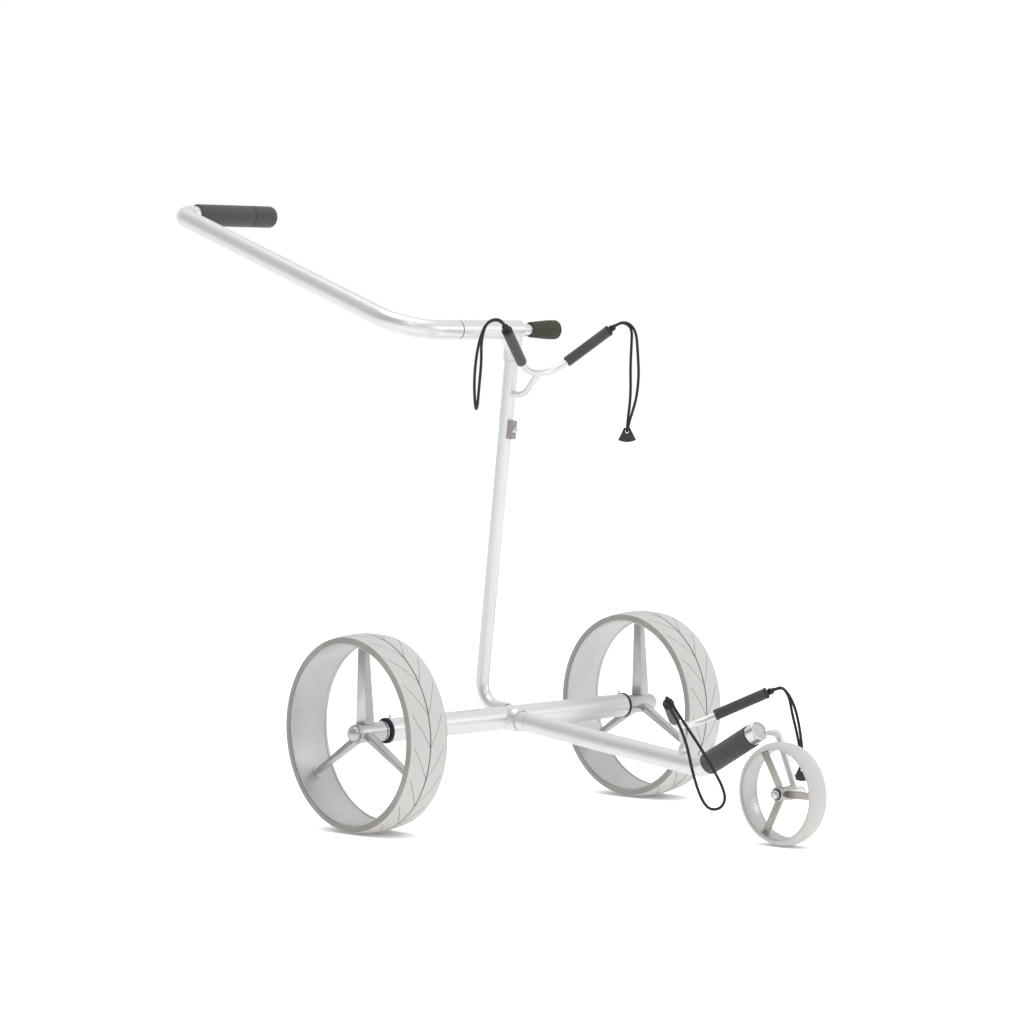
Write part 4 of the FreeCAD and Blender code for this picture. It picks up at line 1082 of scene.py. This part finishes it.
    def hub(self) -> Piece:
        """The hub: a barrel, a shallow step and a domed nose."""
        height = self.hub_nose - self.dome_start
        dome = [(self.dome_r * math.cos(turn), self.dome_start + height * math.sin(turn))
                for turn in (math.radians(angle) for angle in range(0, 90, 9))]
        bore, back, edge = self.hub_bore_r, self.hub_back, self.hub_edge
        barrel_end, dome_foot = self.hub_step
        slope = ((self.hub_r + self.dome_r) / 2, (barrel_end + dome_foot) / 2)
        outline = [(bore, back), (self.hub_r - edge, back), (self.hub_r, back + edge),
                   (self.hub_r, barrel_end), slope, (self.dome_r, dome_foot)]
        outline += dome + [(NOSE_HOLE, self.hub_nose), (NOSE_HOLE, self.dome_floor), (bore, self.dome_floor)]
        piece = self.axis.lathe(f"{self.side.word}_domed_hub", outline, 72)
        return finish_piece(piece, CAST, self.body, f"{self.side.word}_rear_hub")

    def blades(self) -> Piece:
        """The three cast blades."""
        piece = softened(f"{self.side.word}_rear_spokes", f"{self.side.word}_cast_blades", self.blade_round)
        return finish_piece(piece, CAST, self.body, f"{self.side.word}_rear_spokes")

    def build(self) -> None:
        """Make the whole wheel."""
        self.tyre()
        self.rim()
        self.hub()
        self.blades()
        dress_node(f"{self.side.word}_spindle", COLLAR)


# ---- Front wheel ----

@dataclass
class FrontWheel:
    """The front wheel: a smooth tyre, a rim, three flat bars and a turned hub."""

    centre: Vector = field(default_factory=lambda: Vector((0.494, 0.0, 0.070)))
    crown_r: float = 0.070
    shoulder_r: float = 0.0665
    half_width: float = 0.016
    edge_round: float = 0.0024
    lip_r: float = 0.062
    rim_r: float = 0.0635
    rim_bore_r: float = 0.061
    rim_half: float = 0.0145
    bead: float = 0.0008
    barrel_r: float = 0.010
    hub_bore_r: float = 0.008
    hub_ends: tuple[float, float] = (-0.0115, 0.020)
    collar_width: float = 0.004
    waist: float = 0.0006
    waist_slope: float = 0.001
    hub_edge: float = 0.0004
    tread_steps: int = 8
    facets: int = 128
    bar_slope: Vector = field(default_factory=lambda: Vector((0.5, 0, 0.866)))
    body: str = "front_wheel"

    @property
    def axis(self) -> Axis:
        """The wheel's axis, to the left."""
        return Axis(self.centre, Vector((0, 1, 0)))

    def tyre(self) -> Piece:
        """The smooth tyre, with a lip over the rim on each side."""
        reach = self.half_width - self.edge_round
        drop = self.crown_r - self.shoulder_r
        steps = self.tread_steps
        tread = [(self.crown_r - drop * (step / steps) ** 2, reach * step / steps)
                 for step in range(-steps, steps + 1)]
        out = arc(self.crown_r - drop - self.edge_round, reach, self.edge_round, 20, 90)
        inside = [(self.lip_r, self.half_width), (self.lip_r, self.rim_half), (self.rim_r, self.rim_half)]
        outline = mirrored(out) + tread + out + inside + mirrored(inside)
        piece = self.axis.lathe("front_moulded_tyre", outline, self.facets)
        return finish_piece(piece, TYRE, self.body, "front_tyre")

    def rim(self) -> Piece:
        """The rim, with a bead inside each edge."""
        half, bore, bead = self.rim_half, self.rim_bore_r, self.bead
        outline = [(self.rim_r, -half), (self.rim_r, half)] + arc(bore, half - bead, bead, 90, 180)
        outline += [(bore, half - 3 * bead), (bore, -half + 3 * bead)]
        outline += arc(bore, -half + bead, bead, 180, 270)
        piece = self.axis.lathe("front_drum_rim", outline, self.facets)
        return finish_piece(piece, SATIN_FINE, self.body, "front_rim")

    def bars(self) -> Piece:
        """The three flat bars, with strokes that run along the axle."""
        piece = softened("front_spokes", "front_flat_bars", 0.0004)
        map_along(piece, Vector((0, 1, 0)), self.bar_slope)
        return finish_piece(piece, BRUSHED, self.body, "front_spokes")

    def hub(self) -> Piece:
        """The turned hub, with a shallow waist."""
        (low, high), bore, barrel, edge = self.hub_ends, self.hub_bore_r, self.barrel_r, self.hub_edge
        neck, collar = barrel - self.waist, self.collar_width
        foot = collar + self.waist_slope
        outline = [(bore, low), (barrel - edge, low), (barrel, low + edge), (barrel, low + collar),
                   (neck, low + foot), (neck, high - foot), (barrel, high - collar),
                   (barrel, high - edge), (barrel - edge, high), (bore, high)]
        piece = self.axis.lathe("front_turned_hub", outline, 64)
        return finish_piece(piece, TURNED, self.body, "front_hub")

    def build(self) -> None:
        """Make the whole wheel."""
        self.tyre()
        self.rim()
        self.bars()
        self.hub()


# ---- Bag cradles ----

@dataclass
class CradleArms:
    """The foam, the end caps and the knots on a bag cradle's two arms."""

    level: Level
    foot: Vector
    along: Vector
    sleeve_length: float = 0.076
    sleeve_r: float = 0.0076
    rod_r: float = 0.0045
    sleeve_round: float = 0.0022
    cap_r: float = 0.0079
    cap_width: float = 0.004
    cap_round: float = 0.0012
    wrap_r: float = 0.0031
    cord_r: float = 0.0020
    wraps: tuple[tuple[float, float, float], ...] = ((0.0024, 18.0, 10.0), (0.0050, -24.0, 34.0),
                                                     (0.0068, 62.0, -20.0))

    @property
    def axis(self) -> Axis:
        """The left arm's axis, from the sleeve's lower end."""
        return Axis(self.foot, self.along.normalized())

    def pair(self, piece: Piece, name: str) -> Piece:
        """A piece on the left arm and its reflection on the right arm, as one."""
        other = twin(piece, f"{name}_other", Matrix.Diagonal((1, -1, 1, 1)))
        both = joined(name, [piece, other])
        smooth(both)
        return both

    def sleeves(self) -> Piece:
        """The two foam sleeves, with rounded ends."""
        size, length = self.sleeve_round, self.sleeve_length
        outline = [(self.rod_r, 0)] + arc(self.sleeve_r - size, size, size, -90, 0)
        outline += arc(self.sleeve_r - size, length - size, size, 0, 90) + [(self.rod_r, length)]
        piece = self.pair(self.axis.lathe("sleeve", outline, 48), f"{self.level.word}_foam_sleeves")
        finish_piece(piece, FOAM, self.level.value, f"{self.level.word}_sleeves")
        return piece

    def anchors(self) -> Piece:
        """The end caps, and the cords' knots, which are three turns of cord at different tilts."""
        start, end = self.sleeve_length, self.sleeve_length + self.cap_width
        rounded = self.cap_round
        outline = [(AXIS_HOLE, start), (self.cap_r, start)]
        outline += arc(self.cap_r - rounded, end - rounded, rounded, 0, 90) + [(AXIS_HOLE, end)]
        cap = self.axis.lathe("cap", outline, 40)
        cap.data.materials.append(NYLON.material())
        along = self.axis.along
        facing = along.to_track_quat("Z", "Y")
        parts = [cap]
        for station, tilt, swing in self.wraps:
            only()
            bpy.ops.mesh.primitive_torus_add(major_radius=self.wrap_r, minor_radius=self.cord_r,
                                             major_segments=28, minor_segments=12)
            wrap = named("wrap")
            lean = Quaternion((1, 0, 0), math.radians(tilt)) @ Quaternion((0, 1, 0), math.radians(swing))
            wrap.data.transform(Matrix.Translation(self.foot + along * (end + station))
                                @ (facing @ lean).to_matrix().to_4x4())
            wrap.data.materials.append(SEAL.material())
            parts.append(wrap)
        piece = self.pair(joined("anchor", parts), f"{self.level.word}_knots_and_caps")
        return finish_piece(piece, NYLON, self.level.value, f"{self.level.word}_cord_anchors",
                            keep_materials=True)

    def build(self) -> None:
        """Make the foam, the caps and the knots."""
        self.sleeves()
        self.anchors()


CRADLES = (CradleArms(Level.UPPER, Vector((0.0414, 0.0436, 0.6563)), Vector((0.4016, 0.7155, 0.5716))),
           CradleArms(Level.LOWER, Vector((0.3316, 0.0394, 0.1624)), Vector((0.5797, 0.7239, 0.3740))))


# ---- Handle ----

@dataclass
class Handle:
    """The grip's foam on the handle's end."""

    line: Vector = field(default_factory=lambda: Vector((-0.5473, 0.0, 0.895)))
    tube_r: float = 0.01375
    tube_end: float = -0.052
    radius: float = 0.0167
    start: float = -0.173
    split: float = -0.070
    end: float = -0.024
    nose_round: float = 0.009
    edge_round: float = 0.0014
    seam: float = 0.0003

    @property
    def axis(self) -> Axis:
        """The grip's axis, to the left."""
        return Axis(self.line, Vector((0, 1, 0)))

    def build(self) -> None:
        """Make the long sleeve and the closed end."""
        size, inset = self.edge_round, self.radius - self.edge_round
        sleeve = [(self.tube_r, self.start)] + arc(inset, self.start + size, size, -90, 0)
        high = self.split - self.seam
        sleeve += arc(inset, high - size, size, 0, 90) + [(self.tube_r, high)]
        piece = self.axis.lathe("grip_foam", sleeve, 64)
        finish_piece(piece, FOAM, "handle", "grip")
        low, nose = self.split + self.seam, self.nose_round
        cap = [(self.tube_r, low)] + arc(inset, low + size, size, -90, 0)
        cap += arc(self.radius - nose, self.end - nose, nose, 0, 90, 8)
        cap += [(NOSE_HOLE, self.end), (NOSE_HOLE, self.tube_end), (self.tube_r, self.tube_end)]
        piece = self.axis.lathe("grip_foam_end", cap, 64)
        finish_piece(piece, FOAM, "handle", "grip_end")


# ---- Clamp ----

@dataclass
class ClampKnob:
    """The fluted clamp knob."""

    line: Vector = field(default_factory=lambda: Vector((-0.021, 0.0, 0.705)))
    start: float = 0.030
    end: float = 0.084
    recess: float = 0.0346
    insert_end: float = 0.0586
    bore_end: float = 0.070
    rear_r: float = 0.0107
    front_r: float = 0.014
    recess_r: float = 0.009
    insert_r: float = 0.006
    bore_r: float = 0.0046
    shoulder: float = 0.018
    nose_round: float = 0.005
    chamfer: tuple[float, float] = (0.0006, 0.0015)
    flutes: int = 12
    flute_r: float = 0.0024
    flute_ends: tuple[float, float] = (0.029, 0.081)
    flute_lift: tuple[float, float] = (0.0018, 0.0029)
    edge: float = 0.00045
    sharp: float = 25.0

    def flute(self, index: int) -> Piece:
        """A cutter for one flute, which leans with the knob's taper."""
        turn = TAU * index / self.flutes
        out = Vector((math.cos(turn), 0, math.sin(turn)))
        low, high = (self.line + Vector((0, station, 0)) + out * (radius + lift) for station, radius, lift
                     in zip(self.flute_ends, (self.rear_r, self.front_r), self.flute_lift))
        only()
        bpy.ops.mesh.primitive_cylinder_add(vertices=20, radius=self.flute_r, depth=(high - low).length,
                                            location=(low + high) / 2,
                                            rotation=(high - low).to_track_quat("Z", "Y").to_euler())
        return named(f"flute_{index}")

    def build(self) -> None:
        """Turn the knob, cut its flutes and round their edges."""
        axis = Axis(self.line, Vector((0, 1, 0)))
        rise, run = self.chamfer
        nose = self.nose_round
        outline = [(self.recess_r, self.start), (self.rear_r, self.start),
                   (self.rear_r + rise, self.start + run), (self.front_r, self.end - self.shoulder)]
        outline += arc(self.front_r - nose, self.end - nose, nose, 0, 90, 6)
        outline += [(AXIS_HOLE, self.end), (AXIS_HOLE, self.bore_end), (self.bore_r, self.bore_end),
                    (self.bore_r, self.insert_end), (self.insert_r, self.insert_end),
                    (self.insert_r, self.recess), (self.recess_r, self.recess)]
        piece = axis.lathe("fluted_knob", outline, 72)
        carve(piece, joined("flutes", [self.flute(index) for index in range(self.flutes)]))
        round_edges(piece, self.edge, 2, self.sharp)
        heal(piece)
        smooth(piece)
        finish_piece(piece, KNOB, "clamp_knob", "clamp_knob")


# ---- Foot ----

@dataclass
class Foot:
    """The foam sleeve on the lower frame's foot, its bright cap and the disc in it."""

    corner: Vector = field(default_factory=lambda: Vector((0.34542, 0.0, 0.09474)))
    rise: float = math.radians(28.0)
    tube_r: float = 0.0142
    bore_r: float = 0.0115
    sleeve: tuple[float, float] = (0.0122, 0.107)
    sleeve_r: float = 0.0156
    cap_start: float = 0.1075
    cap_end: float = 0.1228
    disc_r: float = 0.0117
    disc_depth: float = 0.0012
    disc_width: float = 0.0015
    plug: float = 0.014
    cap_edge: float = 0.0006
    cap_round: float = 0.0012

    @property
    def axis(self) -> Axis:
        """The foot's axis, up and forwards."""
        return Axis(self.corner, Vector((math.cos(self.rise), 0, math.sin(self.rise))))

    def foam(self) -> Piece:
        """The foam sleeve, with rounded ends."""
        low, high = self.sleeve
        size = self.sleeve_r - self.tube_r
        outline = [(self.tube_r, low)] + arc(self.tube_r, low + size, size, -80, 0)
        outline += arc(self.tube_r, high - size, size, 0, 80) + [(self.tube_r, high)]
        piece = finish_piece(self.axis.lathe("foot_foam", outline, 56), FOAM, "lower_frame", "foot_sleeve")
        return piece

    def cap(self) -> Piece:
        """The bright cap, with its plug in the tube and a seat for the disc."""
        floor = self.cap_end - self.disc_depth - self.disc_width
        start, rounded, edge = self.cap_start, self.cap_round, self.cap_edge
        outline = [(AXIS_HOLE, start - self.plug), (self.bore_r, start - self.plug), (self.bore_r, start),
                   (self.tube_r - edge, start), (self.tube_r, start + edge)]
        outline += arc(self.tube_r - rounded, self.cap_end - rounded, rounded, 0, 90)
        outline += [(self.disc_r + CORNER, self.cap_end), (self.disc_r, self.cap_end - CORNER),
                    (self.disc_r, floor), (AXIS_HOLE, floor)]
        piece = self.axis.lathe("foot_bright_cap", outline, 64)
        return finish_piece(piece, POLISHED, "lower_frame", "foot_cap")

    def disc(self) -> Piece:
        """The grey disc in the cap's seat."""
        top = self.cap_end - self.disc_depth
        floor = top - self.disc_width
        outline = [(AXIS_HOLE, floor), (self.disc_r, floor), (self.disc_r, top - CORNER),
                   (self.disc_r - CORNER, top), (AXIS_HOLE, top)]
        piece = self.axis.lathe("foot_grey_disc", outline, 48)
        return finish_piece(piece, DISC, "lower_frame", "foot_cap_disc")

    def build(self) -> None:
        """Make the sleeve, the cap and the disc."""
        self.foam()
        self.cap()
        self.disc()


# ---- Small parts that keep their plain shape ----

@dataclass(frozen=True)
class PlainPart:
    """A small part that keeps its plain shape, with its edges rounded."""

    node: str
    name: str
    body: str
    finish: Finish
    rounding: float
    segments: int = 2

    def build(self) -> Piece:
        """Make the part."""
        piece = softened(self.node, self.name, self.rounding, self.segments)
        return finish_piece(piece, self.finish, self.body, self.node)


HOOKS = {Level.UPPER: PlainPart("upper_hook", "upper_moulded_hook", "chassis", NYLON, 0.0009, 3),
         Level.LOWER: PlainPart("lower_hook", "lower_moulded_hook", "lower_frame", NYLON, 0.0009, 3)}
PLAIN_PARTS = (PlainPart("buffer_block", "moulded_block", "chassis", BLOCK, 0.0006),
               PlainPart("front_axle_bolt", "domed_bolt", "lower_frame", POLISHED, 0.0003))


@dataclass
class WeldBeads:
    """The beads where the chassis tubes are welded."""

    axle: Vector = field(default_factory=lambda: Vector((-0.050, 0.0, 0.140)))
    lower_drop: float = math.radians(6.53)
    socket_station: float = 0.0282
    socket_r: float = 0.0142
    head: Vector = field(default_factory=lambda: Vector((-0.021, 0.0, 0.705)))
    mast_lean: float = 0.163
    neck_drop: float = 0.043
    neck_r: float = 0.0104
    bead_r: float = 0.0011
    ripple: float = 0.0003
    ripples: int = 46

    def bead(self, name: str, centre: Vector, along: Vector, radius: float) -> Piece:
        """One bead round a tube, with the ripples of a hand-fed rod.

        Args:
            name: the piece's name.
            centre: the middle of the ring.
            along: the tube's direction.
            radius: the tube's radius.

        Returns:
            The bead.
        """
        only()
        bpy.ops.mesh.primitive_torus_add(major_radius=radius, minor_radius=self.bead_r, minor_segments=8,
                                         major_segments=self.ripples * 4)
        piece = named(name)
        share = self.ripple / self.bead_r
        for vertex in piece.data.vertices:
            turn = math.atan2(vertex.co.y, vertex.co.x)
            ring = Vector((math.cos(turn), math.sin(turn), 0)) * radius
            vertex.co = ring + (vertex.co - ring) * (1 + share * math.sin(self.ripples * turn))
        piece.data.transform(Matrix.Translation(centre) @ along.to_track_quat("Z", "Y").to_matrix().to_4x4())
        smooth(piece)
        return finish_piece(piece, CAST, "chassis")

    def build(self) -> None:
        """Make a bead at the socket's flare and one at the head's neck."""
        down = Vector((math.cos(self.lower_drop), 0, -math.sin(self.lower_drop)))
        self.bead("socket_weld", self.axle + down * self.socket_station, down, self.socket_r)
        lean = Vector((self.mast_lean, 0, 1)).normalized()
        self.bead("neck_weld", self.head - lean * (self.neck_drop / lean.z), lean, self.neck_r)


# ---- The whole cart ----

def main() -> None:
    logging.basicConfig(level=logging.INFO, format="%(name)s %(message)s")
    Studio().build()
    hooks = {level: part.build() for level, part in HOOKS.items()}
    for cord in CORDS:
        cord.build([hooks[cord.level]] if cord.side is Side.LEFT else ())
    for finish, nodes in NODE_FINISHES.items():
        for node in nodes:
            dress_node(node, finish)
    for side in Side:
        RearWheel(side).build()
    FrontWheel().build()
    for arms in CRADLES:
        arms.build()
    Handle().build()
    ClampKnob().build()
    Foot().build()
    WeldBeads().build()
    for part in PLAIN_PARTS:
        part.build()


if __name__ == "__main__":
    main()
